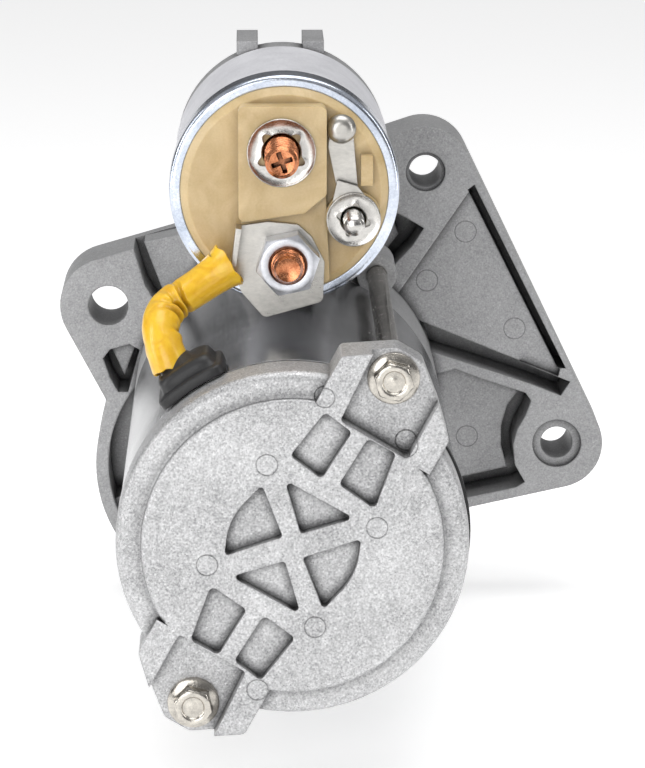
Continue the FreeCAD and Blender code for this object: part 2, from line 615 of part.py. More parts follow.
# ---------------------------------------------------------------- brush gear
plate = newBody("brush_plate")
turn(plate, polygon, [
    ("shaft_radius + 3", plateRear), (yokeBore + " - seat_gap", plateRear),
    (yokeBore + " - seat_gap", plateFront), ("shaft_radius + 3", plateFront)])
brushRear = "(" + plateFront + " + 2.5)"
brushInner = "(commutator_radius + free_gap)"
holderInner = "(" + brushInner + " + 1.4)"
holderOuter = "(" + yokeBore + " - 2)"
diagonal = FreeCAD.Rotation(FreeCAD.Vector(0, 1, 0), 45)


def radialBoxes(label, inner, outer, halfWidth, rear, front):
    """Four blocks that point at the commutator, a quarter turn apart."""
    body = newBody(label)
    block = pad(body, "XY", "-(%s)" % halfWidth, halfWidth, box, inner, rear, outer, front)
    around(body, block, "4")
    body.Placement = FreeCAD.Placement(FreeCAD.Vector(), diagonal)
    return body


holders = newBody("brush_holders")
block = pad(holders, "XY", "-brush_width / 2 - 1", "brush_width / 2 + 1", box,
            holderInner, plateFront, holderOuter, brushRear + " + brush_length + 1")
tunnel = cut(holders, "XY", "-brush_width / 2 - seat_gap", "brush_width / 2 + seat_gap", box,
             holderInner + " - 1", brushRear + " - seat_gap", holderOuter + " - 1",
             brushRear + " + brush_length + seat_gap")
around(holders, [block, tunnel], "4")
holders.Placement = FreeCAD.Placement(FreeCAD.Vector(), diagonal)
radialBoxes("brushes", brushInner, brushInner + " + brush_height", "brush_width / 2",
            brushRear, brushRear + " + brush_length")
springs = []
springInner = size(brushInner + " + brush_height")
springOuter = size(holderOuter + " - 1")
springMiddle = size(brushRear + " + brush_length / 2")
for quarter in range(4):
    spring = coil(0.35, 2.4, springInner, springOuter, 4)
    spring.rotate(FreeCAD.Vector(), FreeCAD.Vector(0, 0, 1), -90)
    spring.translate(FreeCAD.Vector(0, springMiddle, 0))
    spring.rotate(FreeCAD.Vector(), FreeCAD.Vector(0, 1, 0), 45 + 90 * quarter)
    springs.append(spring)
solidPiece("brush_springs", Part.makeCompound(springs))

# ---------------------------------------------------------------- planetary gear
caseRadius = yokeBore + " - seat_gap"
ringBody("intermediate_plate", "shaft_radius + 4", caseRadius, gearCaseRear + " - 3", gearCaseRear)
module = size("gear_module")
sunTeeth = int(size("sun_teeth"))
planetTeeth = int(size("planet_teeth"))
ringTeeth = sunTeeth + 2 * planetTeeth
play = size("tooth_play")
low, high = size(gearRear), size(gearFront)


def planeGear(teeth, gearModule, low, high, bore, addendum=0.85):
    pitch = gearModule * teeth / 2
    face = gearFace(teeth, gearModule, pitch - 1.2 * gearModule, pitch + addendum * gearModule, play)
    shape = alongY(face, low, high)
    return shape.cut(rod(bore, low - 1, high + 1))


solidPiece("sun_gear", planeGear(sunTeeth, module, low, high, size("shaft_radius")))
ringPitch = module * ringTeeth / 2
cavity = alongY(gearFace(ringTeeth, module, ringPitch - 0.85 * module, ringPitch + 1.2 * module, play, True),
                size(gearCaseRear) - 1, size(carrierRear) + 1)
cavity.rotate(FreeCAD.Vector(), FreeCAD.Vector(0, 1, 0), 180 / ringTeeth)
solidPiece("ring_gear", rod(size(caseRadius), size(gearCaseRear), size(carrierRear)).cut(cavity))
planetCircle = module * (sunTeeth + planetTeeth) / 2
planetAngles = (90, 210, 330)
for number, degrees in enumerate(planetAngles, start=1):
    turned = math.radians(degrees)
    planet = solidPiece("planet_gear_%d" % number,
                        planeGear(planetTeeth, module, low, high,
                                  size("planet_pin_radius + running_gap")))
    planet.Placement = FreeCAD.Placement(
        FreeCAD.Vector(planetCircle * math.cos(turned), 0, planetCircle * math.sin(turned)),
        FreeCAD.Rotation())

planetCircleText = "gear_module * (sun_teeth + planet_teeth) / 2"
planetTurn = FreeCAD.Rotation(FreeCAD.Vector(0, 1, 0), -90)
planetPins = newBody("planet_pins")
pin = pad(planetPins, "XZ", gearRear + " - 0.4", carrierFront, disc, planetCircleText, "0",
          "planet_pin_radius")
around(planetPins, pin, "3")
planetPins.Placement = FreeCAD.Placement(FreeCAD.Vector(), planetTurn)

# ---------------------------------------------------------------- drive shaft and its bearings
driveEnd = "(nose_length - 2.8)"
stopRear = "(pinion_rest + pinion_width + pinion_travel + 1)"
driveShaft = newBody("drive_shaft")
turn(driveShaft, polygon, [
    (pilotBushRadius, carrierRear), ("carrier_radius", carrierRear), ("carrier_radius", carrierFront),
    ("drive_radius", carrierFront), ("drive_radius", stopRear + " + 1.4"),
    ("drive_radius - 0.9", stopRear + " + 1.4"), ("drive_radius - 0.9", stopRear + " + 2.8"),
    ("drive_radius", stopRear + " + 2.8"), ("drive_radius", driveEnd + " - 0.6"),
    ("drive_radius - 0.6", driveEnd), ("0", driveEnd), ("0", pilotDepth), (pilotBushRadius, pilotDepth)])
pinHole = cut(driveShaft, "XZ", carrierRear + " - 1", carrierFront + " + 1", disc,
              "0", planetCircleText, "planet_pin_radius")
around(driveShaft, pinHole, "3")
ringBody("pilot_bush", pilotRadius + " + running_gap", pilotBushRadius, carrierRear, pilotDepth)

centreFront = "(" + yokeFront + " + 1)"
centrePlate = newBody("centre_plate")
turn(centrePlate, polygon, [
    ("drive_radius + bush_wall", carrierFront + " + 1"), (caseRadius, carrierFront + " + 1"),
    (caseRadius, centreFront), ("drive_radius + bush_wall + 3.5", centreFront),
    ("drive_radius + bush_wall + 3.5", centreFront + " + 6"),
    ("drive_radius + bush_wall", centreFront + " + 6")])
ringBody("centre_bush", "drive_radius + running_gap", "drive_radius + bush_wall",
         carrierFront + " + 1", centreFront + " + 6")

ringBody("stop_ring", "drive_radius", "drive_radius + 3.6", stopRear + " + 2.8", stopRear + " + 5.6")
ringBody("circlip", "drive_radius - 0.9", "drive_radius + 1.6", stopRear + " + 1.5", stopRear + " + 2.7")

# ---------------------------------------------------------------- clutch and pinion
raceRear = "(pinion_rest - 20)"
tailRear = "(" + raceRear + " + 4)"
raceFront = "(pinion_rest - 2)"
raceBore = "(race_radius - 7)"
tailRadius = "(" + raceBore + " - 2 * roller_radius - 0.12)"
grooveRear = "(groove_y - groove_half)"
grooveFront = "(groove_y + groove_half)"
sleeve = newBody("clutch_sleeve")
turn(sleeve, polygon, [
    ("drive_radius + running_gap", grooveRear + " - 3.4"), ("collar_radius", grooveRear + " - 3.4"),
    ("collar_radius", grooveRear), ("sleeve_radius", grooveRear), ("sleeve_radius", grooveFront),
    ("collar_radius", grooveFront), ("collar_radius", grooveFront + " + 3"),
    ("sleeve_radius", grooveFront + " + 3"), ("sleeve_radius", raceRear), ("race_radius", raceRear),
    ("race_radius", raceFront), (raceBore, raceFront), (raceBore, raceRear + " + 3"),
    ("drive_radius + running_gap", raceRear + " + 3")])
clutchCover = newBody("clutch_cover")
turn(clutchCover, polygon, [
    ("race_radius", raceRear + " + 0.5"), ("race_radius + 0.8", raceRear + " + 0.5"),
    ("race_radius + 0.8", raceFront + " + 1"), (tailRadius + " + 0.6", raceFront + " + 1"),
    (tailRadius + " + 0.6", raceFront + " + 0.2"), ("race_radius", raceFront + " + 0.2")])
rollers = newBody("clutch_rollers")
roller = pad(rollers, "XZ", tailRear + " + 0.5", raceFront + " - 0.5", disc,
             raceBore + " - roller_radius - 0.06", "0", "roller_radius")
around(rollers, roller, "roller_count")
solidPiece("meshing_spring", coil(1.0, 11.4, size(grooveFront + " + 3"), size(raceRear), 3))

pinionPitch = size("pinion_module * pinion_teeth / 2")
pinionRoot = pinionPitch - 1.15 * size("pinion_module")
pinionTip = pinionPitch + size("pinion_module")
gear = alongY(gearFace(int(size("pinion_teeth")), size("pinion_module"), pinionRoot, pinionTip, play),
              size("pinion_rest"), size("pinion_rest + pinion_width"))
taper = Part.makeCone(pinionTip - 2.2, pinionTip + 20, 22.2, FreeCAD.Vector(
    0, size("pinion_rest + pinion_width"), 0), FreeCAD.Vector(0, -1, 0))
gear = gear.common(taper).fuse(rod(size(tailRadius), size(tailRear), size("pinion_rest")))
gear = gear.cut(rod(size("drive_radius + running_gap"), size(tailRear) - 1,
                    size("pinion_rest + pinion_width") + 1))
solidPiece("pinion", gear.removeSplitter())

# ---------------------------------------------------------------- shift lever
lever = newBody("shift_lever")
half = "tongue_width / 2"
pad(lever, "YZ", "sol_x - " + half, "sol_x + " + half, belt, [
    ("lever_top_y", "sol_z", "lever_arm / 2"), ("pivot_y", "pivot_z", "4.4")])
pad(lever, "YZ", "sol_x - " + half, "sol_x + " + half, disc, "lever_top_y", "sol_z",
    "lever_tip_radius")
pad(lever, "YZ", "-6", "6", disc, "pivot_y", "pivot_z", "4.4")
forkInside = "(collar_radius + fork_gap)"
forkReach = "(collar_radius + fork_gap + fork_arm)"
pad(lever, "YZ", "-" + forkReach, forkReach, belt, [
    ("groove_y", "fork_pad_z", "fork_pad_radius"), ("pivot_y", "pivot_z", "3.4")])
leverTop = "pivot_z + 10"
cut(lever, "XZ", "pivot_y - 20", "0", belt, [
    (forkReach, "-40", "0"), ("60", "-40", "0"), ("60", leverTop, "0"), ("6", leverTop, "0"),
    ("14", "32", "8"), ("0", "1", "-" + forkReach)])
cut(lever, "XZ", "pivot_y - 20", "0", belt, [
    ("0", "1", "-" + forkReach), ("-14", "32", "8"), ("-6", leverTop, "0"), ("-60", leverTop, "0"),
    ("-60", "-40", "0"), ("-" + forkReach, "-40", "0")])
cut(lever, "XZ", "pivot_y - 20", "0", belt, [
    ("-" + forkInside, "-40", "0"), (forkInside, "-40", "0"), ("0", "0", forkInside)])
for low, high in (("sleeve_radius + 0.8", forkInside + " + 1"),
                  ("-%s - 1" % forkInside, "-sleeve_radius - 0.8")):
    pad(lever, "YZ", low, high, disc, "groove_y", "fork_pad_z", "fork_pad_radius")
cut(lever, "YZ", "-20", "20", disc, "pivot_y", "pivot_z", "pivot_radius + running_gap")

leverPin = newBody("lever_pin")
pad(leverPin, "YZ", "-13.9", "13.9", disc, "pivot_y", "pivot_z", "pivot_radius")

bearingBlock = newBody("lever_bearing_block")
pad(bearingBlock, "XZ", canFront + " + 10", "pivot_y - 6.4", box, "-8.4", "yoke_radius + 0.9",
    "8.4", "sol_z - 15.4")

# ---------------------------------------------------------------- solenoid
can = newBody("solenoid_can", "sol_x", "0", "sol_z")
capSeat = "(" + canRear + " - 0.9)"
turn(can, belt, [
    ("cap_flange_radius - 1", canRear + " - 2.4", "0"),
    ("crimp_radius - 1.1", canRear + " - 1.3", "1.1"), ("crimp_radius", canRear, "0"),
    ("crimp_radius", canRear + " + crimp_height", "0"),
    ("can_radius", canRear + " + crimp_height + 0.6", "0"),
    ("can_radius - 0.8", canFront + " - 0.8", "0.8"),
    ("plunger_radius + running_gap", canFront, "0"),
    ("plunger_radius + running_gap", canFront + " - can_front_wall", "0"),
    ("can_radius - can_wall", canFront + " - can_front_wall", "0"),
    ("can_radius - can_wall", canRear + " + 2", "0"),
    ("cap_flange_radius + seat_gap", canRear + " + 2", "0"),
    ("cap_flange_radius + seat_gap", capSeat, "0"), ("cap_flange_radius - 1", capSeat, "0")])


def canScrews(sketch, radius):
    for degrees in screwAngles:
        disc(sketch, "%.4f" % (screwCircle * math.cos(math.radians(degrees))),
             "%.4f" % (screwCircle * math.sin(math.radians(degrees))), radius)


cut(can, "XZ", canFront + " - 3.2", canFront + " + 1", canScrews, "2.25")

capFace = "(" + capSeat + " - 3.1)"
cavityRear = "(" + capFace + " + 3)"
skirtFront = "(" + canRear + " + 8.8)"
turretFace = "(" + capFace + " - turret_height)"
blockFace = "(" + capFace + " - 2)"
cap = newBody("solenoid_cap", "sol_x", "0", "sol_z")
skirtRadius = "(can_radius - can_wall - seat_gap)"
turn(cap, belt, [
    ("0", capFace, "0"), ("cap_flange_radius - 3", capFace + " + 0.4", "0.4"),
    ("cap_flange_radius - 1.1", capFace + " + 1.6", "0"), ("cap_flange_radius - 1.1", capSeat, "0"),
    ("cap_flange_radius", capSeat, "0"), ("cap_flange_radius", canRear + " + 2", "0"),
    (skirtRadius, canRear + " + 2", "0"), (skirtRadius, skirtFront, "0"),
    (skirtRadius + " - 3.3", skirtFront, "0"), (skirtRadius + " - 3.3", cavityRear, "0"),
    ("0", cavityRear, "0")])
pad(cap, "XZ", turretFace, capFace + " + 0.6", belt, [
    ("-9.1", "-4.8", "1.5"), ("4", "-2.9", "1.5"), ("8.2", "0.6", "1.5"), ("8.2", "19", "1.5"),
    ("-9.1", "19", "1.5")])
pad(cap, "XZ", blockFace, capFace + " + 0.6", belt, [
    ("-8.8", "-19.5", "1.2"), ("9.2", "-20", "1.2"), ("8.4", "-1", "1.2"), ("-8.8", "-4", "1.2")])
pad(cap, "XZ", capFace + " - 2.2", capFace + " + 0.6", disc, "signal_x", "signal_z", "6.5")
pad(cap, "XZ", capFace + " - 2.6", capFace + " + 0.6", box, "17.6", "1.6", "20.4", "8.7")
cut(cap, "XZ", turretFace + " - 1", cavityRear + " + 1", disc, "battery_x", "battery_z",
    "post_radius + shank_swell + running_gap")
cut(cap, "XZ", turretFace + " - 1", cavityRear + " + 1", disc, "motor_post_x", "motor_post_z",
    "post_radius + shank_swell + running_gap")
cut(cap, "XZ", turretFace + " - 1", cavityRear + " + 1", disc, "signal_x", "signal_z",
    "signal_post_radius + shank_swell + running_gap")
cut(cap, "XZ", capFace + " - 1", cavityRear + " + 1", disc, "9.1", "18.2", "0.6")


def post(label, x, z, radius, headRadius, tip, seat, head="3"):
    """A terminal stud: its head stands inside the cap, a thicker shank fills the bore up to the seat."""
    body = newBody(label, "sol_x + " + x, "0", "sol_z + " + z)
    turn(body, polygon, [
        ("0", tip), ("%s - 0.9" % radius, tip), (radius, tip + " + 0.9"), (radius, seat),
        (radius + " + shank_swell", seat), (radius + " + shank_swell", cavityRear),
        (headRadius, cavityRear), (headRadius, cavityRear + " + " + head),
        ("0", cavityRear + " + " + head)])
    return body


batteryTip = "(" + turretFace + " - battery_post_length)"
motorTip = "(" + blockFace + " - motor_post_length)"
signalSeat = "(" + capFace + " - 2.2)"
signalTip = "(" + signalSeat + " - signal_post_length)"
plateFace = "(" + blockFace + " - plate_thickness)"
washerFace = "(" + turretFace + " - washer_thickness)"
signalWasherFace = "(" + signalSeat + " - strip_thickness - 1)"
post("battery_stud", "battery_x", "battery_z", "post_radius", "post_radius + 2.1", batteryTip, washerFace)
post("motor_stud", "motor_post_x", "motor_post_z", "post_radius", "post_radius + 0.6", motorTip, plateFace)
post("signal_stud", "signal_x", "signal_z", "signal_post_radius", "signal_post_radius + 1", signalTip,
     signalWasherFace, "1")
ringBody("battery_washer", "post_radius + shank_swell + seat_gap", "washer_radius", washerFace,
         turretFace, "sol_x + battery_x", "sol_z + battery_z")
nut = newBody("motor_terminal_nut", "sol_x + motor_post_x", "0", "sol_z + motor_post_z")
pad(nut, "XZ", plateFace + " - nut_height", plateFace, belt, hexagon("0", "0", "nut_flats"))
cut(nut, "XZ", plateFace + " - nut_height - 1", plateFace + " + 1", disc, "0", "0",
    "post_radius + running_gap")
turn(nut, polygon, [
    ("nut_flats / 2 - 1.6", plateFace + " - nut_height - 1"),
    ("nut_flats", plateFace + " - nut_height - 1"), ("nut_flats", plateFace + " - nut_height + 3.9")],
    kind="Groove")

terminal = newBody("terminal_plate", "sol_x", "0", "sol_z")
pad(terminal, "XZ", plateFace, blockFace, belt, [
    ("-8.2", "-22.2", "2"), ("-4.2", "-27.4", "1.6"), ("7.3", "-24.2", "1.6"), ("7.6", "-16.4", "1.6"),
    ("5", "-11.2", "1.6"), ("2.4", "-8.8", "1.6"), ("-3.8", "-8.2", "1.6"), ("-9.5", "-9", "1.6"),
    ("-11", "-16.5", "1.2")])
cut(terminal, "XZ", plateFace + " - 1", blockFace + " + 1", disc, "motor_post_x", "motor_post_z",
    "post_radius + shank_swell + seat_gap")
pad(terminal, "XZ", plateFace + " - 5", blockFace, polygon, [
    ("-12.4", "-16.5"), ("-11.2", "-16.2"), ("-9.9", "-7.4"), ("-11.2", "-7.2")])

strip = newBody("signal_strip", "sol_x", "0", "sol_z")
pad(strip, "XZ", signalSeat + " - strip_thickness", signalSeat, belt, [
    ("signal_x", "signal_z", "5.6"), ("16.6", "1.4", "0.3"), ("12.4", "2.6", "0.3")])
cut(strip, "XZ", signalSeat + " - 2", signalSeat + " + 1", disc, "signal_x", "signal_z",
    "signal_post_radius + shank_swell + seat_gap")
pad(strip, "XZ", signalSeat + " - strip_thickness", capFace + " - 0.6", polygon, [
    ("12", "1.8"), ("16.6", "0.55"), ("16.8", "1.3"), ("12.2", "2.5")])
pad(strip, "XZ", capFace + " - 0.6 - strip_thickness", capFace + " - 0.6", belt, [
    ("12.2", "1.9", "0.3"), ("16.7", "0.7", "0.3"), ("13.2", "15.2", "2.5"), ("10.4", "10.5", "0.3")])
ringBody("signal_washer", "signal_post_radius + shank_swell + seat_gap", "6.3", signalWasherFace,
         signalSeat + " - strip_thickness", "sol_x + signal_x", "sol_z + signal_z")

rivet = newBody("signal_rivet", "sol_x + 13.1", "0", "sol_z + 14.8")
turn(rivet, belt, [("0", capFace + " - 4.4", "0"), ("1.2", capFace + " - 2.2", "2.2"),
                   ("3.35", capFace + " - 0.6 - strip_thickness", "0"),
                   ("0", capFace + " - 0.6 - strip_thickness", "0")])

coreRearFace = "(" + skirtFront + " + 0.2)"
coreDiscFront = "(" + coreRearFace + " + core_thickness)"
bossFront = "(" + coreDiscFront + " + core_boss_length)"
solenoidCore = newBody("solenoid_core", "sol_x", "0", "sol_z")
turn(solenoidCore, polygon, [
    ("rod_radius + running_gap", coreRearFace), (skirtRadius, coreRearFace),
    (skirtRadius, coreDiscFront), ("plunger_radius", coreDiscFront), ("plunger_radius", bossFront),
    ("rod_radius + running_gap", bossFront)])
bobbinRear = "(" + coreDiscFront + " + 0.1)"
bobbinFront = "(" + canFront + " - can_front_wall - 0.1)"
bobbinBore = "(plunger_radius + 0.35)"
bobbinTube = "(plunger_radius + 0.35 + bobbin_wall)"
bobbin = newBody("coil_bobbin", "sol_x", "0", "sol_z")
turn(bobbin, polygon, [
    (bobbinBore, bobbinRear), ("coil_radius + 0.8", bobbinRear), ("coil_radius + 0.8", bobbinRear + " + 1.4"),
    (bobbinTube, bobbinRear + " + 1.4"), (bobbinTube, bobbinFront + " - 1.4"),
    ("coil_radius + 0.8", bobbinFront + " - 1.4"), ("coil_radius + 0.8", bobbinFront),
    (bobbinBore, bobbinFront)])
ringBody("pull_in_winding", bobbinTube + " + 0.05", "coil_split_radius", bobbinRear + " + 1.5",
         bobbinFront + " - 1.5", "sol_x", "sol_z")
ringBody("hold_in_winding", "coil_split_radius + 0.05", "coil_radius", bobbinRear + " + 1.5",
         bobbinFront + " - 1.5", "sol_x", "sol_z")

plungerFront = "(lever_top_y + lever_tip_radius + 3.1)"
plungerRear = "(" + plungerFront + " - plunger_length)"
collarFront = "(" + plungerFront + " - 14.5)"
plunger = newBody("plunger", "sol_x", "0", "sol_z")
turn(plunger, polygon, [
    ("0", plungerRear), ("plunger_radius - 0.6", plungerRear), ("plunger_radius", plungerRear + " + 0.6"),
    ("plunger_radius", collarFront + " - 1.5"), ("plunger_radius + 3.5", collarFront + " - 1.5"),
    ("plunger_radius + 3.5", collarFront), ("plunger_radius - 1", collarFront),
    ("plunger_radius - 1", plungerFront), ("0", plungerFront)])
cut(plunger, "XY", "-plunger_radius - 1", "6", box, "-tongue_width / 2 - 0.3",
    "lever_top_y - lever_tip_radius - 0.3", "tongue_width / 2 + 0.3",
    "lever_top_y + lever_tip_radius + 0.3")
solidPiece("return_spring", coil(0.7, 10.9, size(canFront), size(collarFront + " - 1.5"), 5,
                                 size("sol_x"), size("sol_z")))

bridgeRear = "(" + cavityRear + " + 3 + 2.6)"
bridge = newBody("contact_bridge", "sol_x", "0", "sol_z")
pad(bridge, "XZ", bridgeRear, bridgeRear + " + 2", box, "-5", "-18.8", "5", "13")
contactRod = newBody("contact_rod", "sol_x", "0", "sol_z")
turn(contactRod, polygon, [
    ("0", bridgeRear + " - 1.6"), ("rod_radius + 0.6", bridgeRear + " - 1.6"),
    ("rod_radius + 0.6", bridgeRear), ("rod_radius - 1", bridgeRear),
    ("rod_radius - 1", bridgeRear + " + 2"), ("rod_radius", bridgeRear + " + 2"),
    ("rod_radius", bossFront + " + 2.45"), ("0", bossFront + " + 2.45")])
cut(bridge, "XZ", bridgeRear + " - 1", bridgeRear + " + 3", disc, "0", "0", "rod_radius - 1")

# ---------------------------------------------------------------- motor lead and grommet


def roundedRoute(points, limit):
    """Straight runs joined by tangent arcs, each as large as its two runs leave room for."""
    spots = [FreeCAD.Vector(*point) for point in points]
    edges = []
    start = spots[0]
    for before, corner, after in zip(spots, spots[1:], spots[2:]):
        inward, outward = (before - corner), (after - corner)
        run = min(inward.Length, outward.Length) * 0.45
        inward.normalize()
        outward.normalize()
        turned = math.pi - inward.getAngle(outward)
        radius = run / math.tan(turned / 2)
        if radius < limit:
            raise SystemExit("the lead bends too tightly: %.1f" % radius)
        print("lead radius %.1f" % radius)
        first, last = corner + inward * run, corner + outward * run
        middle = (inward + outward).normalize()
        centre = corner + middle * math.sqrt(run * run + radius * radius)
        edges.append(Part.LineSegment(start, first).toShape())
        edges.append(Part.Arc(first, centre - middle * radius, last).toShape())
        start = last
    edges.append(Part.LineSegment(start, spots[-1]).toShape())
    return Part.Wire(edges)


leadDepth = size(blockFace)
leadRoute = [(-16.8, leadDepth - 4.4, 58.8), (-24.3, leadDepth - 5, 53.9), (-31.4, leadDepth - 9.5, 48.6),
             (-32, leadDepth - 19.5, 41.9), (-27.9, leadDepth - 19.5, 35.6)]
route = roundedRoute(leadRoute, size("lead_radius"))
firstRun = FreeCAD.Vector(*leadRoute[1]) - FreeCAD.Vector(*leadRoute[0])
section = Part.Wire(Part.makeCircle(size("lead_radius"), FreeCAD.Vector(*leadRoute[0]), firstRun))
lead = route.makePipeShell([section], True, True)
print("lead length %.1f, volume over section times length %.4f" % (
    route.Length, lead.Volume / (route.Length * math.pi * size("lead_radius") ** 2)))
solidPiece("motor_lead", lead)

grommetTurn = math.radians(123.5)


def byGrommet(u, v):
    """A place u out from the motor axis through the grommet and v across."""
    return ("(%s) * %.5f - (%s) * %.5f" % (u, math.cos(grommetTurn), v, math.sin(grommetTurn)),
            "(%s) * %.5f + (%s) * %.5f" % (u, math.sin(grommetTurn), v, math.cos(grommetTurn)))


grommet = newBody("lead_grommet")
pad(grommet, "XZ", coverFront + " - 2", yokeRear + " + 13", belt, [
    byGrommet(u, v) + (r,) for u, v, r in (
        (coverRadius + " + 0.9", "-8.4", "0.6"), (coverRadius + " + 2.6", "-8.4", "0.8"),
        (coverRadius + " + 2.6", "8.4", "0.8"), (coverRadius + " + 0.9", "8.4", "0.6"))])
pad(grommet, "XZ", coverFront + " + 4", yokeRear + " + 12.5", belt, [
    byGrommet(u, v) + (r,) for u, v, r in (
        (coverRadius + " + 1.5", "-2.4", "0.6"), (coverRadius + " + 4.5", "-1.6", "0.6"),
        (coverRadius + " + 4.5", "7.4", "0.6"), (coverRadius + " + 1.5", "7.8", "0.6"))])


# ---------------------------------------------------------------- checks and export
doc.recompute()
faults = [item.Label for item in doc.Objects if {"Invalid", "Error"} & set(item.State)]
for item in doc.Objects:
    if item.TypeId in ("PartDesign::Pocket", "PartDesign::Groove"):
        if item.Shape.Volume > item.BaseFeature.Shape.Volume - 0.01:
            faults.append(item.Label + " cuts nothing")
for piece in pieces:
    if piece.Shape.isNull() or not piece.Shape.isValid() or not piece.Shape.Solids:
        faults.append(piece.Label + " has no valid shape")
if faults:
    raise SystemExit("faulty: " + ", ".join(faults))
for piece in pieces:
    piece.Shape.exportStep("parts/%s.step" % piece.Label)
    print("%-22s %2d solid(s) %10.1f mm3" % (piece.Label, len(piece.Shape.Solids), piece.Shape.Volume))
print(len(pieces), "pieces")
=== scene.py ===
import json
import math

import bpy
import numpy as np
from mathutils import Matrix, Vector


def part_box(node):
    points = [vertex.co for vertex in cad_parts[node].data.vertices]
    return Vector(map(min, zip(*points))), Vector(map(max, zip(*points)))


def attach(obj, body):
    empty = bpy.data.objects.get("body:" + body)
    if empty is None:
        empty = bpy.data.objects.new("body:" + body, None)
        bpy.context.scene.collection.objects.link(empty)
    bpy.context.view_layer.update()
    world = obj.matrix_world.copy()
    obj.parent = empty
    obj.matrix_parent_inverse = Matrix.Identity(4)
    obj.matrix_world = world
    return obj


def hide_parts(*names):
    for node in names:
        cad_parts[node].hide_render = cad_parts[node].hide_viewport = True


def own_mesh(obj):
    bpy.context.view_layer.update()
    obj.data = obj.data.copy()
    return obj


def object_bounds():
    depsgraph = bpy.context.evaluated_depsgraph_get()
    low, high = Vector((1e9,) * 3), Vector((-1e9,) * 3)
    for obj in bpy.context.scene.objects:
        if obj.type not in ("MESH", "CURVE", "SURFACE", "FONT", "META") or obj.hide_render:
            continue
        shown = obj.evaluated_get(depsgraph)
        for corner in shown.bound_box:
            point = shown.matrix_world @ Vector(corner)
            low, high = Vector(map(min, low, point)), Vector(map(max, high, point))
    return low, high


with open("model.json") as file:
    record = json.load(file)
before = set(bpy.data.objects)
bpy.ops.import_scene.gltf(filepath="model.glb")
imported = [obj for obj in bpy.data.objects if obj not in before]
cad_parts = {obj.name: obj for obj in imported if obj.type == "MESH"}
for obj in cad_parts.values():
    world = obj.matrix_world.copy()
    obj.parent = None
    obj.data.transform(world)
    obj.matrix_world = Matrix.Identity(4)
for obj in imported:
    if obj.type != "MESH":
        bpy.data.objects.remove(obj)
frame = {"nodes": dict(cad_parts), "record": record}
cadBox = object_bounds()
nodes = frame["nodes"]
mm = 0.001
print("frame loaded,", len(nodes), "pieces")


# A socket of a node. Arithmetic on it adds Math nodes and gives the socket of the result.
class Link:
    def __init__(self, maker, socket):
        self.maker = maker
        self.socket = socket

    def math(self, operation, *values):
        return self.maker.add("Math", {"operation": operation}, dict(enumerate(values)))

    def __add__(self, other):
        return self.math("ADD", self, other)

    def __sub__(self, other):
        return self.math("SUBTRACT", self, other)

    def __rsub__(self, other):
        return self.math("SUBTRACT", other, self)

    def __mul__(self, other):
        return self.math("MULTIPLY", self, other)

    def __pow__(self, other):
        return self.math("POWER", self, other)

    __radd__ = __add__
    __rmul__ = __mul__

    # the value without its sign
    def absolute(self):
        return self.math("ABSOLUTE", self)

    # from 0 at low to 1 at high, in a straight line held at both ends
    def rise(self, low, high):
        return self.maker.add("MapRange", {"clamp": True}, {
            "Value": self, "From Min": low, "From Max": high})


# A node tree being made. add() takes a node's type, its settings and the values or links of its sockets.
class Maker:
    def __init__(self, tree):
        self.tree = tree

    def feed(self, socket, value):
        if isinstance(value, Link):
            self.tree.links.new(value.socket, socket)
        elif socket.type == "RGBA" and len(value) == 3:
            socket.default_value = (*value, 1)
        else:
            socket.default_value = value

    def add(self, kind, settings=None, sockets=None, output=0):
        node = self.tree.nodes.new("ShaderNode" + kind)
        for setting, value in (settings or {}).items():
            if setting == "stops":
                ramp = node.color_ramp.elements
                ramp[0].position, ramp[0].color = value[0][0], (*value[0][1], 1)
                ramp[1].position, ramp[1].color = value[-1][0], (*value[-1][1], 1)
                for place, colour in value[1:-1]:
                    ramp.new(place).color = (*colour, 1)
            else:
                setattr(node, setting, value)
        for socket, value in (sockets or {}).items():
            self.feed(node.inputs[socket], value)
        return Link(self, node.outputs[output])

    def place(self, scale=(1, 1, 1), turn=(0, 0, 0), move=(0, 0, 0)):
        where = self.add("TexCoord", output="Object")
        return self.add("Mapping", {}, {
            "Vector": where, "Location": move, "Rotation": turn, "Scale": scale})

    # one number of a vector, by its axis
    def part(self, where, axis):
        return self.add("SeparateXYZ", {}, {"Vector": where}, axis)

    # smooth random values about 0.5 whose lumps are one grain across, in metres
    def noise(self, where, grain, detail=2.0, rough=0.5, twist=0.0):
        return self.add("TexNoise", {}, {"Vector": where, "Scale": 1 / grain, "Detail": detail,
                                         "Roughness": rough, "Distortion": twist})

    # one random value for each cell one grain across
    def flecks(self, where, grain):
        cell = self.add("TexVoronoi", {}, {"Vector": where, "Scale": 1 / grain}, "Position")
        return self.add("TexWhiteNoise", {}, {"Vector": cell}, "Value")

    def blend(self, factor, first, second, kind="MIX"):
        return self.add("Mix", {"data_type": "RGBA", "blend_type": kind},
                        {0: factor, 6: first, 7: second}, 2)

    def bump(self, height, depth, normal=None):
        sockets = {"Height": height, "Distance": depth, "Strength": 1.0}
        if normal is not None:
            sockets["Normal"] = normal
        return self.add("Bump", {}, sockets)

    # the surface's own direction, smoothed across edges nearer than a radius
    def softEdge(self, radius):
        return self.add("Bevel", {"samples": 4}, {"Radius": radius})

    # 1 in the open and towards 0 in corners narrower than a reach
    def openness(self, reach):
        return self.add("AmbientOcclusion", {"samples": 6, "only_local": True}, {"Distance": reach}, "AO")


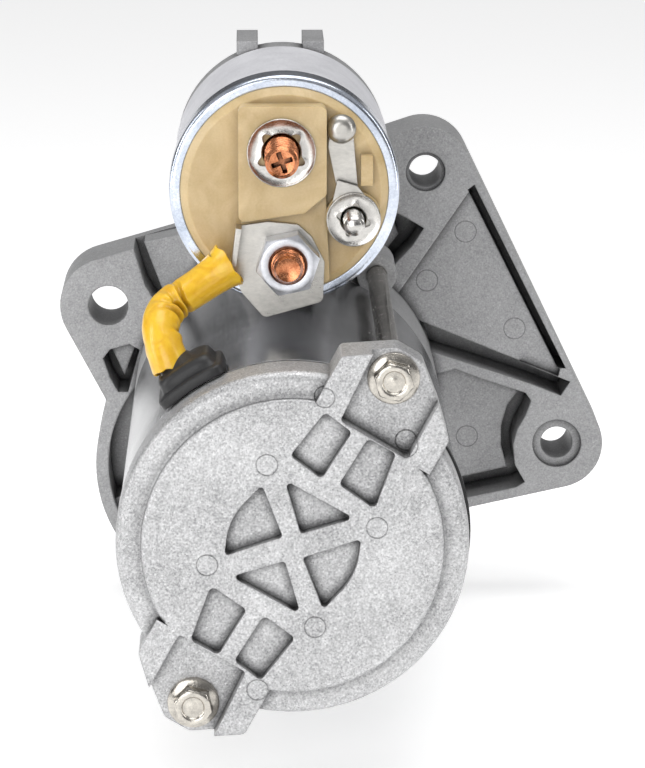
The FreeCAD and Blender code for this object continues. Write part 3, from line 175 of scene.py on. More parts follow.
class Finish(Maker):
    def __init__(self, name, **constants):
        self.material = bpy.data.materials.new(name)
        self.material.use_nodes = True
        super().__init__(self.material.node_tree)
        self.shader = self.tree.nodes["Principled BSDF"]
        for socket, value in constants.items():
            self.feed(self.shader.inputs[socket.replace("_", " ")], value)

    def wear(self, **links):
        for socket, value in links.items():
            self.feed(self.shader.inputs[socket.replace("_", " ")], value)
        return self.material


def dress(name, material):
    piece = nodes[name] if isinstance(name, str) else name
    piece.data.materials.clear()
    piece.data.materials.append(material)


# In these, "glint" is the weight of painted glints and "corner" the reach of painted corner shade.
castValues = {"dark": (0.25, 0.25, 0.253), "light": (0.5, 0.5, 0.505), "grain": 0.42 * mm,
              "grainDepth": 0.045 * mm, "rough": 0.46, "corner": 3 * mm, "edge": 0.7 * mm, "glint": 0.12,
              "metal": 0.55, "groove": 0.22 * mm}
coverValues = {"dark": (0.2, 0.2, 0.205), "light": (0.78, 0.78, 0.785), "grain": 0.46 * mm,
               "grainDepth": 0.1 * mm, "rough": 0.4, "corner": 2.6 * mm, "edge": 0.6 * mm, "glint": 0.3,
               "metal": 0.65, "groove": 0.22 * mm}
# Round witness marks of the ejector pins on the cover's rear face: across, up, radius.
coverMarks = [(-5.7, 19.1, 2.4), (18.9, 4.5, 2.4), (-19.2, -4.0, 2.4), (5.0, -18.6, 2.4),
              (7.2, 34.4, 2.2), (25.5, 23.3, 2.4), (-8.0, -33.3, 2.4)]
housingMarks = [(46.8, 42.5, 2.8), (36.8, 29.5, 2.8), (59.9, 16.6, 2.8), (47.9, -13.5, 2.8)]


# Fine grooves along circles. Each falls in a straight line from 1 on its circle to 0 a groove's width
# off it, where the distance off is that of (across, up) from the middle less the radius, and all add up.
def pinMarks(finish, marks, width):
    where = finish.place()
    across, up = finish.part(where, "X"), finish.part(where, "Z")
    total = 0.0
    for x, z, radius in marks:
        offX, offZ = across - x * mm, up - z * mm
        far = (offX * offX + offZ * offZ) ** 0.5
        total = (far - radius * mm).absolute().rise(width, 0.0) + total
    return total


# Blasted casting: the tone is a weighted sum of grains, wider lumps and clouds, with single bright
# flecks that are painted glints. Painted shade darkens corners by how closed they are, and the pins'
# rings are grooves in the bump.
def castFinish(name, values, marks):
    finish = Finish(name, Metallic=values["metal"], Specular_IOR_Level=0.5)
    where = finish.place()
    grains = finish.noise(where, values["grain"], 3.0, 0.65)
    lumps = finish.noise(where, values["grain"] * 4, 2.0)
    cloud = finish.noise(where, 14 * mm, 4.0, 0.6)
    glint = finish.flecks(where, values["grain"] * 0.8).rise(0.8, 1.0)
    tone = (grains * 1.2 + cloud * 0.4 + lumps * 0.2).rise(0.55, 1.25)
    colour = finish.blend(tone, values["dark"], values["light"])
    # painted glints: single bright flecks blended towards white
    colour = finish.blend(glint * values["glint"], colour, (0.92, 0.92, 0.92))
    # painted shade: closed corners darkened towards black
    cornerShade = 1 - finish.openness(values["corner"])
    colour = finish.blend(cornerShade.rise(0.04, 0.6) * 0.92, colour, (0.012, 0.012, 0.013))
    ring = pinMarks(finish, marks, values["groove"])
    colour = finish.blend(ring.rise(0.0, 1.0) * 0.55, colour, (0.05, 0.05, 0.05))
    rough = (grains - 0.5) * 0.5 + (values["rough"] + 0.08) - glint * 0.18
    height = grains * 0.7 + lumps * 0.8 - ring * 1.4
    return finish.wear(Base_Color=colour, Roughness=rough,
                       Normal=finish.bump(height, values["grainDepth"], finish.softEdge(values["edge"])))


dress("drive_housing", castFinish("blastedCasting", castValues, housingMarks))
dress("rear_cover", castFinish("coverCasting", coverValues, coverMarks))
print("castings finished")


# Drawn or turned metals. Sizes are across: "grain" of a scratch, "blotch" of a patch, "edge" of a
# rounded corner. "stretch" shrinks the scratches' coordinates along their run, "depth" is the bump's
# height, and "shade" is the tone left in a corner under painted shade, where 1 paints no shade.
plainMetal = {"rough": 0.3, "stretch": (1, 1, 1), "scratch": 0.25, "grain": 0.5 * mm, "depth": 0.006 * mm,
              "edge": 0.2 * mm, "blotch": 4 * mm, "shade": 1.0}
metalValues = {
    "rolledZinc": {"dark": (0.3, 0.305, 0.31), "light": (0.56, 0.56, 0.57), "rough": 0.22,
                   "stretch": (1, 0.06, 1), "scratch": 0.12, "grain": 0.7 * mm, "depth": 0.004 * mm,
                   "edge": 0.3 * mm, "blotch": 18 * mm},
    "platedSteel": {"dark": (0.4, 0.39, 0.37), "light": (0.74, 0.72, 0.69), "rough": 0.2, "scratch": 0.24,
                    "grain": 0.35 * mm, "depth": 0.012 * mm, "edge": 0.3 * mm, "blotch": 3 * mm,
                    "shade": 0.4},
    "tinPlate": {"dark": (0.36, 0.35, 0.33), "light": (0.62, 0.6, 0.56), "rough": 0.32,
                 "stretch": (0.4, 1, 1), "scratch": 0.12, "grain": 0.6 * mm, "depth": 0.005 * mm,
                 "edge": 0.25 * mm, "blotch": 9 * mm, "shade": 0.6},
    "zincNut": {"dark": (0.46, 0.47, 0.5), "light": (0.8, 0.81, 0.85), "rough": 0.34, "scratch": 0.2,
                "grain": 0.35 * mm, "depth": 0.012 * mm, "blotch": 3 * mm, "shade": 0.2},
    "yellowedZinc": {"dark": (0.34, 0.32, 0.29), "light": (0.74, 0.7, 0.63), "rough": 0.22,
                     "grain": 0.4 * mm, "depth": 0.014 * mm, "edge": 0.15 * mm, "blotch": 2.2 * mm,
                     "shade": 0.3},
    "groundSteel": {"dark": (0.28, 0.28, 0.29), "light": (0.55, 0.55, 0.56), "rough": 0.28,
                    "stretch": (1, 0.15, 1), "scratch": 0.3, "grain": 0.4 * mm, "blotch": 8 * mm,
                    "shade": 0.5},
    "sinteredBronze": {"dark": (0.3, 0.2, 0.09), "light": (0.6, 0.42, 0.2), "rough": 0.42,
                       "scratch": 0.3, "grain": 0.3 * mm, "depth": 0.02 * mm},
    "bareCopper": {"dark": (0.32, 0.09, 0.035), "light": (0.84, 0.36, 0.18), "rough": 0.26,
                   "scratch": 0.3, "grain": 0.4 * mm, "depth": 0.012 * mm, "edge": 0.12 * mm,
                   "blotch": 1.6 * mm, "shade": 0.08},
    "enamelledCopper": {"dark": (0.22, 0.06, 0.02), "light": (0.5, 0.19, 0.08), "stretch": (1, 0.1, 1),
                        "scratch": 0.2, "grain": 0.7 * mm, "depth": 0.12 * mm, "blotch": 5 * mm,
                        "shade": 0.5},
    "stackedSheet": {"dark": (0.09, 0.09, 0.1), "light": (0.3, 0.3, 0.32), "rough": 0.42,
                     "stretch": (0.02, 1, 0.02), "scratch": 0.2, "depth": 0.05 * mm, "blotch": 6 * mm},
}


# The tone is a weighted sum of stretched scratches and round patches, and both vary the roughness
# about its value. Painted shade darkens corners by how closed they are.
def metalFinish(name):
    values = {**plainMetal, **metalValues[name]}
    finish = Finish(name, Metallic=1.0)
    where = finish.place()
    lines = finish.noise(finish.place(values["stretch"]), values["grain"], 4.0, 0.7)
    patches = finish.noise(where, values["blotch"], 3.0, 0.6)
    fine = finish.noise(where, 0.25 * mm, 2.0)
    tone = (lines * 0.8 + patches * 1.2).rise(0.6, 1.4)
    colour = finish.blend(tone, values["dark"], values["light"])
    if values["shade"] < 1.0:
        # painted shade: closed corners darkened towards near black
        cornerShade = 1 - finish.openness(2 * mm)
        colour = finish.blend(cornerShade.rise(0.1, 0.8) * (1 - values["shade"]), colour, (0.02, 0.02, 0.02))
    roughness = (lines - 0.5) * values["scratch"] + (patches - 0.5) * 0.22 + values["rough"]
    normal = finish.bump(lines + fine * 0.5, values["depth"], finish.softEdge(values["edge"]))
    return finish.wear(Base_Color=colour, Roughness=roughness, Normal=normal)


# The solenoid can is bright and faintly blue round its rolled crimp, and a duller, paler zinc ahead of
# it. The change runs over a short width from a depth just ahead of the crimp.
canValues = {
    "crimpDark": (0.38, 0.43, 0.52), "crimpLight": (0.78, 0.82, 0.9), "bodyDark": (0.62, 0.62, 0.65),
    "bodyLight": (0.78, 0.78, 0.81), "crimpEnd": -114.8 * mm, "change": 1.2 * mm, "crimpRough": 0.16,
    "bodyRough": 0.5, "bodyMetal": 0.25,
}


# Everything moves from the crimp's value to the body's with the share of the change that is done.
def canFinish(values):
    finish = Finish("zincCan", Specular_IOR_Level=0.5)
    where = finish.place()
    body = finish.part(where, "Y").rise(values["crimpEnd"], values["crimpEnd"] + values["change"])
    lines = finish.noise(finish.place((1, 0.2, 1)), 0.6 * mm, 3.0, 0.6)
    patches = finish.noise(where, 9 * mm, 3.0, 0.6)
    fine = finish.noise(where, 0.3 * mm, 2.0)
    tone = (lines * 0.7 + patches * 1.3).rise(0.6, 1.4)
    crimp = finish.blend(tone, values["crimpDark"], values["crimpLight"])
    plain = finish.blend(tone, values["bodyDark"], values["bodyLight"])
    gap = values["bodyRough"] - values["crimpRough"]
    roughness = body * gap + (lines - 0.5) * 0.14 + (patches - 0.5) * 0.1 + values["crimpRough"]
    normal = finish.bump(lines + fine * 0.6, 0.006 * mm, finish.softEdge(0.4 * mm))
    return finish.wear(Base_Color=finish.blend(body, crimp, plain),
                       Metallic=1 - body * (1 - values["bodyMetal"]), Roughness=roughness, Normal=normal)


canMetal = canFinish(canValues)
metals = {name: metalFinish(name) for name in metalValues}
print("metals finished")


# Mouldings. Sizes are across: "grain" of the spark-eroded texture, "flow" of a flow mark, "corner" of
# the reach of the painted corner shade and "edge" of a rounded corner. "shiny" is the weight of the clear
# coat, "glow" that of light under the surface, and "shade" how much of the tone a corner loses to painted
# shade.
plainMoulding = {
    "shiny": 0.0, "glow": 0.0, "corner": 2 * mm, "shade": 0.5, "flow": 12 * mm, "edge": 0.4 * mm}
mouldingValues = {
    "naturalPolyamide": {"dark": (0.47, 0.33, 0.145), "light": (0.68, 0.53, 0.3), "rough": 0.34,
                         "grain": 0.5 * mm, "depth": 0.012 * mm, "shiny": 0.15, "glow": 0.22,
                         "corner": 3 * mm, "shade": 0.6},
    "blackMoulding": {"dark": (0.012, 0.012, 0.013), "light": (0.03, 0.03, 0.032), "rough": 0.45,
                      "grain": 0.4 * mm, "depth": 0.015 * mm},
    "blackRubber": {"dark": (0.006, 0.006, 0.007), "light": (0.02, 0.02, 0.021), "rough": 0.5,
                    "grain": 0.45 * mm, "depth": 0.05 * mm, "shiny": 0.1},
    "glassFilledLever": {"dark": (0.04, 0.035, 0.03), "light": (0.11, 0.1, 0.085), "rough": 0.5,
                    "grain": 0.3 * mm, "depth": 0.03 * mm},
    "pressedCarbon": {"dark": (0.02, 0.018, 0.017), "light": (0.06, 0.05, 0.045), "rough": 0.55,
                      "grain": 0.2 * mm, "depth": 0.03 * mm},
    "sinteredFerrite": {"dark": (0.03, 0.03, 0.033), "light": (0.09, 0.09, 0.1), "rough": 0.6,
                        "grain": 0.35 * mm, "depth": 0.04 * mm},
    "yellowSleeve": {"dark": (0.72, 0.37, 0.006), "light": (0.93, 0.6, 0.03), "rough": 0.34,
                     "grain": 1.6 * mm, "depth": 0.1 * mm, "shiny": 0.3, "glow": 0.12, "corner": 3 * mm,
                     "shade": 0.75, "flow": 5 * mm, "edge": 0.2 * mm},
}


# The tone is a weighted sum of twisted flow marks and grains, and painted shade darkens corners by how
# closed they are.
def mouldedFinish(name):
    values = {**plainMoulding, **mouldingValues[name]}
    finish = Finish(name, Metallic=0.0, Coat_Weight=values["shiny"], Coat_Roughness=0.12,
                    Subsurface_Weight=values["glow"], Subsurface_Scale=2 * mm,
                    Subsurface_Radius=(1.0, 0.7, 0.35))
    where = finish.place()
    swirl = finish.noise(where, values["flow"], 3.0, 0.55, 1.2)
    grains = finish.noise(where, values["grain"], 3.0, 0.6)
    colour = finish.blend((swirl * 1.3 + grains * 0.4).rise(0.5, 1.2), values["dark"], values["light"])
    # painted shade: closed corners darkened towards a deeper tone of the dark colour
    cornerShade = 1 - finish.openness(values["corner"])
    deepestShade = tuple(value * 0.35 for value in values["dark"])
    colour = finish.blend(cornerShade.rise(0.05, 0.8) * values["shade"], colour, deepestShade)
    roughness = (grains - 0.5) * 0.25 + (swirl - 0.5) * 0.15 + values["rough"]
    normal = finish.bump(grains + swirl * 0.6, values["depth"], finish.softEdge(values["edge"]))
    return finish.wear(Base_Color=colour, Roughness=roughness, Normal=normal)


mouldings = {name: mouldedFinish(name) for name in mouldingValues}

finishOfSlot = {
    "yoke_steel": metals["rolledZinc"], "can_steel": canMetal, "steel": metals["groundSteel"],
    "plated_steel": metals["platedSteel"], "tin_plate": metals["tinPlate"], "copper": metals["bareCopper"],
    "bronze": metals["sinteredBronze"], "enamelled_copper": metals["enamelledCopper"],
    "lamination": metals["stackedSheet"], "cap_plastic": mouldings["naturalPolyamide"],
    "black_plastic": mouldings["blackMoulding"], "black_rubber": mouldings["blackRubber"],
    "yellow_sleeve": mouldings["yellowSleeve"], "ferrite": mouldings["sinteredFerrite"],
    "carbon": mouldings["pressedCarbon"], "lever_plastic": mouldings["glassFilledLever"],
}
for part in frame["record"]["subparts"]:
    if part["material_slot"] in finishOfSlot:
        dress(part["node"], finishOfSlot[part["material_slot"]])
print("plastics and rubbers finished")


# A grid of points (rows, columns, 3) whose columns go round. Rows either close round as well, or end in
# two poles at the middle of the first and the last row. Faces are turned to give a volume above zero.
def gridPiece(name, grid, loop=False, sharp=35):
    rows, columns = grid.shape[:2]
    if loop:
        points = grid.reshape(-1, 3)
        ids = np.arange(rows * columns).reshape(rows, columns)
        ids = np.vstack([ids, ids[:1]])
        fans = []
    else:
        points = np.vstack([grid[0].mean(0)[None], grid[1:-1].reshape(-1, 3), grid[-1].mean(0)[None]])
        ids = 1 + np.arange((rows - 2) * columns).reshape(rows - 2, columns)
        after = np.roll(ids, -1, 1)
        last = len(points) - 1
        fans = [np.stack([np.zeros(columns, int), after[0], ids[0]], 1),
                np.stack([np.full(columns, last), ids[-1], after[-1]], 1)]
    after = np.roll(ids, -1, 1)
    quads = np.stack([ids[:-1], after[:-1], after[1:], ids[1:]], -1).reshape(-1, 4)
    halves = np.vstack([quads[:, [0, 1, 2]], quads[:, [0, 2, 3]]] + fans)
    a, b, c = (points[halves[:, i]] for i in range(3))
    if (np.cross(a, b) * c).sum() < 0:
        quads = quads[:, ::-1]
        fans = [fan[:, ::-1] for fan in fans]
    mesh = bpy.data.meshes.new(name)
    mesh.from_pydata(points.tolist(), [], quads.tolist() + [face for fan in fans for face in fan.tolist()])
    mesh.shade_smooth()
    mesh.set_sharp_from_angle(angle=math.radians(sharp))
    piece = bpy.data.objects.new(name, mesh)
    bpy.context.scene.collection.objects.link(piece)
    return piece


def install(piece, material, slot, body, *replaced):
    dress(piece, material)
    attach(piece, body)
    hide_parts(*replaced)


# a bump that is 1 at the middle, 0 a width away, and level at both
def hump(distance, width):
    return np.where(np.abs(distance) < width, 0.5 + 0.5 * np.cos(math.pi * distance / width), 0.0)


def middleOf(name):
    low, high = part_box(name)
    return (low + high) / 2, low, high


# Threaded studs along Y. "chamfer" is how far the tip's face is smaller than the stud, "slope" how much
# the radius grows for each step down the chamfer, "slot" the depth of a cross cut into the tip,
# "dish" the depth of the tip's hollow, and "thread" the length that is threaded.
studValues = {
    "battery_stud": {
        "radius": 3.9 * mm, "pitch": 1.25 * mm, "depth": 0.62 * mm, "chamfer": 1.0 * mm, "slope": 0.7,
        "slot": 1.8 * mm, "slotWidth": 0.75 * mm, "dish": 0.2 * mm, "thread": 19 * mm,
        "metal": "bareCopper", "slotName": "copper"},
    "motor_stud": {
        "radius": 3.9 * mm, "pitch": 1.25 * mm, "depth": 0.7 * mm, "chamfer": 1.15 * mm, "slope": 0.35,
        "slot": 0.0, "slotWidth": 0.8 * mm, "dish": 0.5 * mm, "thread": 10 * mm,
        "metal": "bareCopper", "slotName": "copper"},
    "signal_stud": {
        "radius": 2.45 * mm, "pitch": 0.8 * mm, "depth": 0.42 * mm, "chamfer": 0.8 * mm, "slope": 0.8,
        "slot": 0.0, "slotWidth": 0.4 * mm, "dish": -0.35 * mm, "thread": 9 * mm,
        "metal": "platedSteel", "slotName": "plated_steel"},
}


# Rows go from the middle of the tip outwards, over the chamfer and down the thread. The thread's radius
# is the stud's radius less its depth times a triangle wave of (depth down the stud over the pitch less
# the turn), and the tip's face sinks by its dish times one less the square of the share of its radius.
def threadedStud(name):
    values = studValues[name]
    radius = values["radius"]
    middle, low, high = middleOf(name)
    length = high.y - low.y
    faceRows, rowStep = 26, 0.1 * mm
    turn = np.linspace(0, 2 * math.pi, 96, endpoint=False)
    tipRadius = radius - values["chamfer"]
    sideDepth = np.linspace(0, length, int(length / rowStep))[1:]
    sideReach = np.minimum(tipRadius + sideDepth * values["slope"], radius)
    reach = np.concatenate([np.linspace(0, tipRadius, faceRows), sideReach, [0.0]])[:, None] + 0 * turn
    depth = np.concatenate([np.zeros(faceRows), sideDepth, [length]])[:, None] + 0 * turn
    onFace = np.arange(len(reach))[:, None] < faceRows
    wave = np.abs(((depth / values["pitch"] - turn / (2 * math.pi)) % 1.0) * 2 - 1)
    crest = radius - values["depth"] * np.clip(wave * 1.25 - 0.12, 0, 1)
    threaded = ~onFace & (depth < values["thread"])
    reach = np.where(threaded, np.minimum(reach, crest), reach)
    x, z = reach * np.cos(turn), reach * np.sin(turn)
    along, across = x * 0.94 + z * 0.34, z * 0.94 - x * 0.34
    cross = np.maximum(hump(along, values["slotWidth"]), hump(across, values["slotWidth"])) > 0.25
    edge = np.clip((tipRadius * 0.86 - reach) / (0.5 * mm), 0, 1)
    dished = values["dish"] * np.clip(1 - (reach / tipRadius) ** 2, 0, 1)
    depth = np.where(onFace, depth + dished + values["slot"] * cross * edge, depth)
    grid = np.stack([middle.x + x, low.y + depth, middle.z + z], -1)
    piece = gridPiece(name.replace("_", "Thread_"), grid)
    install(piece, metals[values["metal"]], values["slotName"], "casing", name)


for studName in studValues:
    threadedStud(studName)
print("studs threaded")


# Each bolt is one closed surface round its own axis: rings on the head's face, the head, the flange and
# the rod. "across" and "up" are where the upper bolt's axis stands off the motor's; the lower one is
# opposite it. Rows: radius, place ahead of the head's face, how far the row is six-sided; in millimetres.
boltValues = {
    "across": 22.6, "up": 37.7, "flats": 4.0, "corner": 4.5, "turn": 15,
    "rod": 2.5, "tip": 1.9, "tipChamfer": 0.8,
    "rows": [
        (0.0, 0.3, 0), (0.8, 0.42, 0), (1.6, 0.52, 0), (2.35, 0.55, 0), (2.6, 0.2, 0), (2.85, 0.0, 0),
        (3.5, 0.0, 0), (3.95, 0.12, 0), (4.0, 0.3, 0.6), (4.0, 0.55, 1), (4.0, 3.4, 1), (4.45, 3.55, 0.4),
        (5.3, 3.7, 0), (5.8, 4.0, 0), (5.9, 4.3, 0), (5.9, 5.0, 0), (2.5, 5.0, 0)],
}


# The radius of a hexagon at each turn: half its flats over the cosine of the angle off the nearest flat.
# The first corner stands at the given turn in degrees.
def hexagonReach(turn, flats, corner):
    off = (turn - math.radians(corner)) % (math.pi / 3) - math.pi / 6
    return flats / np.cos(off)


def throughBolt(name, side, values):
    low, high = middleOf("through_bolts")[1:]
    across, up = side * values["across"] * mm, side * values["up"] * mm
    turn = np.linspace(0, 2 * math.pi, 120, endpoint=False)
    length = (high.y - low.y) / mm
    end = [(values["rod"], length - values["tipChamfer"], 0), (values["tip"], length, 0), (0, length, 0)]
    reach, ahead, six = (column[:, None] for column in np.array(values["rows"] + end).T)
    hexagon = np.minimum(hexagonReach(turn, values["flats"], values["turn"] + 30), values["corner"])
    reach = reach + (hexagon - values["flats"]) * six
    grid = np.stack([across + reach * mm * np.cos(turn), low.y + ahead * mm + 0 * turn,
                     up + reach * mm * np.sin(turn)], -1)
    piece = gridPiece(name, grid, sharp=40)
    install(piece, metals["yellowedZinc"], "plated_steel", "casing", "through_bolts")


throughBolt("throughBoltUpper", 1, boltValues)
throughBolt("throughBoltLower", -1, boltValues)
print("bolts made")


# A closed ring round the motor stud: a chamfered hole, a round face and six sides. Rows: radius, place
# ahead of the face, how far the row is six-sided, how far it follows the chamfer; in millimetres.
nutValues = {
    "flats": 6.5, "round": 6.2, "turn": 12, "chamfer": 30,
    "rows": [
        (3.95, 6.4, 0, 0), (3.95, 0.75, 0, 0), (4.45, 0.05, 0, 0), (4.6, 0.0, 0, 0), (5.4, 0.0, 0, 0),
        (6.1, 0.0, 0, 0), (6.2, 0.04, 0, 0), (6.5, 0.0, 1, 1), (6.5, 0.3, 1, 1), (6.5, 6.2, 1, 0),
        (6.4, 6.4, 1, 0)],
}


# The chamfer falls by the tangent of its angle for each millimetre outside the round face.
def hexNut(values):
    middle, low, high = middleOf("motor_terminal_nut")
    turn = np.linspace(0, 2 * math.pi, 180, endpoint=False)
    reach, ahead, six, chamfer = (column[:, None] for column in np.array(values["rows"]).T)
    hexagon = hexagonReach(turn, values["flats"], values["turn"])
    reach = reach + (hexagon - values["flats"]) * six
    fall = np.maximum(hexagon - values["round"], 0) * math.tan(math.radians(values["chamfer"]))
    ahead = ahead + fall * chamfer
    grid = np.stack([middle.x + reach * mm * np.cos(turn), low.y + ahead * mm,
                     middle.z + reach * mm * np.sin(turn)], -1)
    piece = gridPiece("terminalNut", grid, loop=True, sharp=25)
    install(piece, metals["zincNut"], "plated_steel", "casing", "motor_terminal_nut")


hexNut(nutValues)
print("nut made")


# Dished washers with a notched hole. "lobe" is how far each notch reaches into the washer, "lobes" are
# the notches' turns and "spread" is half a notch's width, both in degrees. The section goes round the
# ring: "share" of the way from hole to rim, and "rise" as a share of the thickness.
washerValues = {
    "battery_washer": {"hole": 4.5 * mm, "lobe": 1.3 * mm, "lobes": (45, 135, 205, 335), "spread": 16},
    "signal_washer": {"hole": 3.05 * mm, "lobe": 0.9 * mm, "lobes": (80, 165, 345, 250), "spread": 18},
}
washerSection = {
    "share": (0, 0.03, 0.1, 0.4, 0.7, 0.86, 0.95, 0.99, 1, 1, 0.97, 0.5, 0.04, 0),
    "rise": (0.3, 0.1, 0.12, 0.22, 0.2, 0.06, 0.0, 0.12, 0.35, 0.85, 1, 1, 1, 0.9),
}


# The hole's radius grows at each notch by its lobe times a flattened bump of the angle off it.
def notchedWasher(name):
    values = washerValues[name]
    middle, low, high = middleOf(name)
    radius = (high.x - low.x) / 2
    turn = np.linspace(0, 2 * math.pi, 192, endpoint=False)
    hole = np.full(turn.shape, values["hole"])
    for lobe in values["lobes"]:
        off = (np.degrees(turn) - lobe + 180) % 360 - 180
        hole = hole + values["lobe"] * hump(off, values["spread"]) ** 0.6
    share, rise = (np.array(washerSection[key])[:, None] for key in ("share", "rise"))
    reach = hole + (radius - hole) * share
    depth = (rise + 0 * turn) * (high.y - low.y)
    grid = np.stack([middle.x + reach * np.cos(turn), low.y + depth, middle.z + reach * np.sin(turn)], -1)
    piece = gridPiece(name.replace("_", "Notched_"), grid, loop=True, sharp=50)
    install(piece, metals["platedSteel"], "plated_steel", "casing", name)


for washerName in washerValues:
    notchedWasher(washerName)
print("washers made")


# The plunger's return spring. "travel" is how far the plunger is drawn in; it is not used.
springValues = {"wire": 0.7 * mm, "turns": 5, "travel": 9 * mm}


# A round wire along a helix: the middle line is (radius cos t, pitch t, radius sin t), and the wire's
# circle stands square to it. The turns are spread evenly over the spring's length.
def returnSpring(values):
    middle, low, high = middleOf("return_spring")
    wire, turns = values["wire"], values["turns"]
    length = high.y - low.y
    radius = (high.z - low.z) / 2 - wire
    run = np.linspace(0, 2 * math.pi * turns, turns * 36 + 1)[:, None]
    thick = np.full(run.shape, wire)
    run = np.vstack([run[:1], run, run[-1:]])
    thick = np.vstack([[[0.0]], thick, [[0.0]]])
    turn = np.linspace(0, 2 * math.pi, 14, endpoint=False)
    pitch = (length - 2 * wire) / (2 * math.pi * turns)
    lean = math.atan2(pitch, radius)
    reach = radius + thick * np.cos(turn)
    up = thick * np.sin(turn)
    back = -up * math.sin(lean)
    x = middle.x + reach * np.cos(run) - back * np.sin(run)
    y = low.y + wire + pitch * run + up * math.cos(lean)
    z = middle.z + reach * np.sin(run) + back * np.cos(run)
    piece = gridPiece("returnSpring", np.stack([x, y, z], -1), sharp=60)
    install(piece, metals["groundSteel"], "steel", "plunger", "return_spring")
    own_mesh(piece)


returnSpring(springValues)
print("spring wound")


# The motor lead's sleeve. "creases" are places along it as shares of its length, and "creaseWidth" too.
# "flareTop" and "flareBottom" are how much wider its ends are, and "ragged" how uneven they are cut.
leadValues = {
    "route": [(-13.9, -131.6, 57.0), (-22.2, -132.8, 51.2), (-29.0, -137.0, 48.0),
              (-30.4, -146.0, 43.4), (-27.2, -147.4, 36.2)],
    "radius": 4.1 * mm, "wall": 0.8 * mm, "creases": (0.4, 0.5, 0.56, 0.66, 0.8), "creaseDepth": 0.26,
    "creaseWidth": 0.042, "flareTop": 0.34, "flareBottom": 0.12, "ragged": 0.55 * mm, "seed": 7,
}


# The points of a smooth line through a route in millimetres, evenly spaced, with two directions across
# it that turn as little as they can.
def followRoute(name, route, count):
    line = bpy.data.curves.new(name, "CURVE")
    line.dimensions = "3D"
    spline = line.splines.new("NURBS")
    spline.points.add(len(route) - 1)
    for point, place in zip(spline.points, route):
        point.co = (place[0] * mm, place[1] * mm, place[2] * mm, 1)
    spline.order_u = 3
    spline.use_endpoint_u = True
    spline.resolution_u = 24
    holder = bpy.data.objects.new(name, line)
    bpy.context.scene.collection.objects.link(holder)
    sampled = bpy.data.meshes.new_from_object(holder)
    points = np.array([vertex.co for vertex in sampled.vertices])
    bpy.data.objects.remove(holder)
    bpy.data.meshes.remove(sampled)
    bpy.data.curves.remove(line)
    run = np.concatenate([[0], np.cumsum(np.linalg.norm(np.diff(points, axis=0), axis=1))])
    even = np.linspace(0, run[-1], count)
    path = np.stack([np.interp(even, run, points[:, axis]) for axis in range(3)], 1)
    ahead = np.gradient(path, axis=0)
    ahead /= np.linalg.norm(ahead, axis=1)[:, None]
    side = np.zeros_like(path)
    side[0] = np.cross(ahead[0], (0, 1, 0))
    for step in range(count):
        carried = side[max(step - 1, 0)]
        carried = carried - ahead[step] * carried.dot(ahead[step])
        side[step] = carried / np.linalg.norm(carried)
    return path, ahead, side, np.cross(ahead, side), run[-1]


# The direction of the inner side of the bend at each point, as a turn about the line, smoothed.
def innerTurn(ahead, side, other):
    bend = np.gradient(ahead, axis=0)
    inner = np.unwrap(np.arctan2((bend * other).sum(1), (bend * side).sum(1)))
    reach = 20
    kernel = np.ones(2 * reach + 1) / (2 * reach + 1)
    return np.convolve(np.pad(inner, reach, "edge"), kernel, "valid")[:, None]


# The sleeve's radius is its own radius times one plus soft lengthwise waves, less creases across the
# inner side of each bend, each with a swell behind it, plus a flare that dies away from each end.
def sleeveReach(values, share, turn, inner):
    rng = np.random.default_rng(values["seed"])
    facing = 0.5 + 0.5 * np.cos(turn - inner)
    waves = sum(rng.uniform(0.006, 0.022) * np.sin(k * turn + rng.uniform(0, 6.3)
                + share * rng.uniform(-14, 14)) for k in (1, 2, 3, 4, 5))
    width = values["creaseWidth"]
    creases = 0
    for place in values["creases"]:
        slant = 0.03 * np.sin(turn + rng.uniform(0, 6.3))
        slant = slant + 0.012 * np.sin(3 * turn + rng.uniform(0, 6.3))
        fold = hump(share + slant - place, width)
        swell = hump(share + slant - place - width, width)
        creases = creases + (0.45 * swell - fold) * facing ** 1.5 * rng.uniform(0.7, 1.2)
    flare = values["flareTop"] * np.exp(-share / 0.09)
    flare = flare + values["flareBottom"] * np.exp(-(1 - share) / 0.14)
    return values["radius"] * (1 + waves + creases * values["creaseDepth"] + flare)


# The rows of a rolled lip at one end of the sleeve, from deep inside out to its edge. Each row's radius
# is that of the end less a share of the wall, and it lies a depth in millimetres into the sleeve.
def rolledLip(centre, inwards, spokes, reach, wall):
    lip = ((99, 2.4), (1.0, 2.4), (1.0, 0.25), (0.75, -0.12), (0.25, -0.12))
    return [centre + spokes * np.maximum(reach - share * wall, 0)[:, None] + inwards * deep * mm
            for share, deep in lip]


# Points of the sleeve stand off the line by its radius, and slide along it near its ragged ends by a
# sum of three waves round it.
def wrinkledSleeve(values):
    path, ahead, side, other, length = followRoute("leadLine", values["route"], 260)
    share = np.linspace(0, 1, len(path))[:, None]
    turn = np.linspace(0, 2 * math.pi, 96, endpoint=False)
    reach = sleeveReach(values, share, turn, innerTurn(ahead, side, other))
    ragged = 0.6 * np.sin(2 * turn + 0.7) + 0.35 * np.sin(5 * turn) + 0.25 * np.sin(9 * turn + 2)
    slide = values["ragged"] * ragged * (np.exp(-share / 0.05) - np.exp(-(1 - share) / 0.05))
    centre = path[:, None] + ahead[:, None] * slide[..., None]
    spokes = side[:, None] * np.cos(turn)[None, :, None] + other[:, None] * np.sin(turn)[None, :, None]
    outer = centre + spokes * reach[..., None]
    wall = values["wall"]
    lipTop = rolledLip(centre[0], ahead[0], spokes[0], reach[0], wall)
    lipEnd = rolledLip(centre[-1], -ahead[-1], spokes[-1], reach[-1], wall)[::-1]
    piece = gridPiece("leadSleeve", np.concatenate([lipTop, outer, lipEnd]), sharp=60)
    install(piece, mouldings["yellowSleeve"], "yellow_sleeve", "casing", "motor_lead")
    print("lead sleeve %.1f mm long" % (length / mm))


wrinkledSleeve(leadValues)


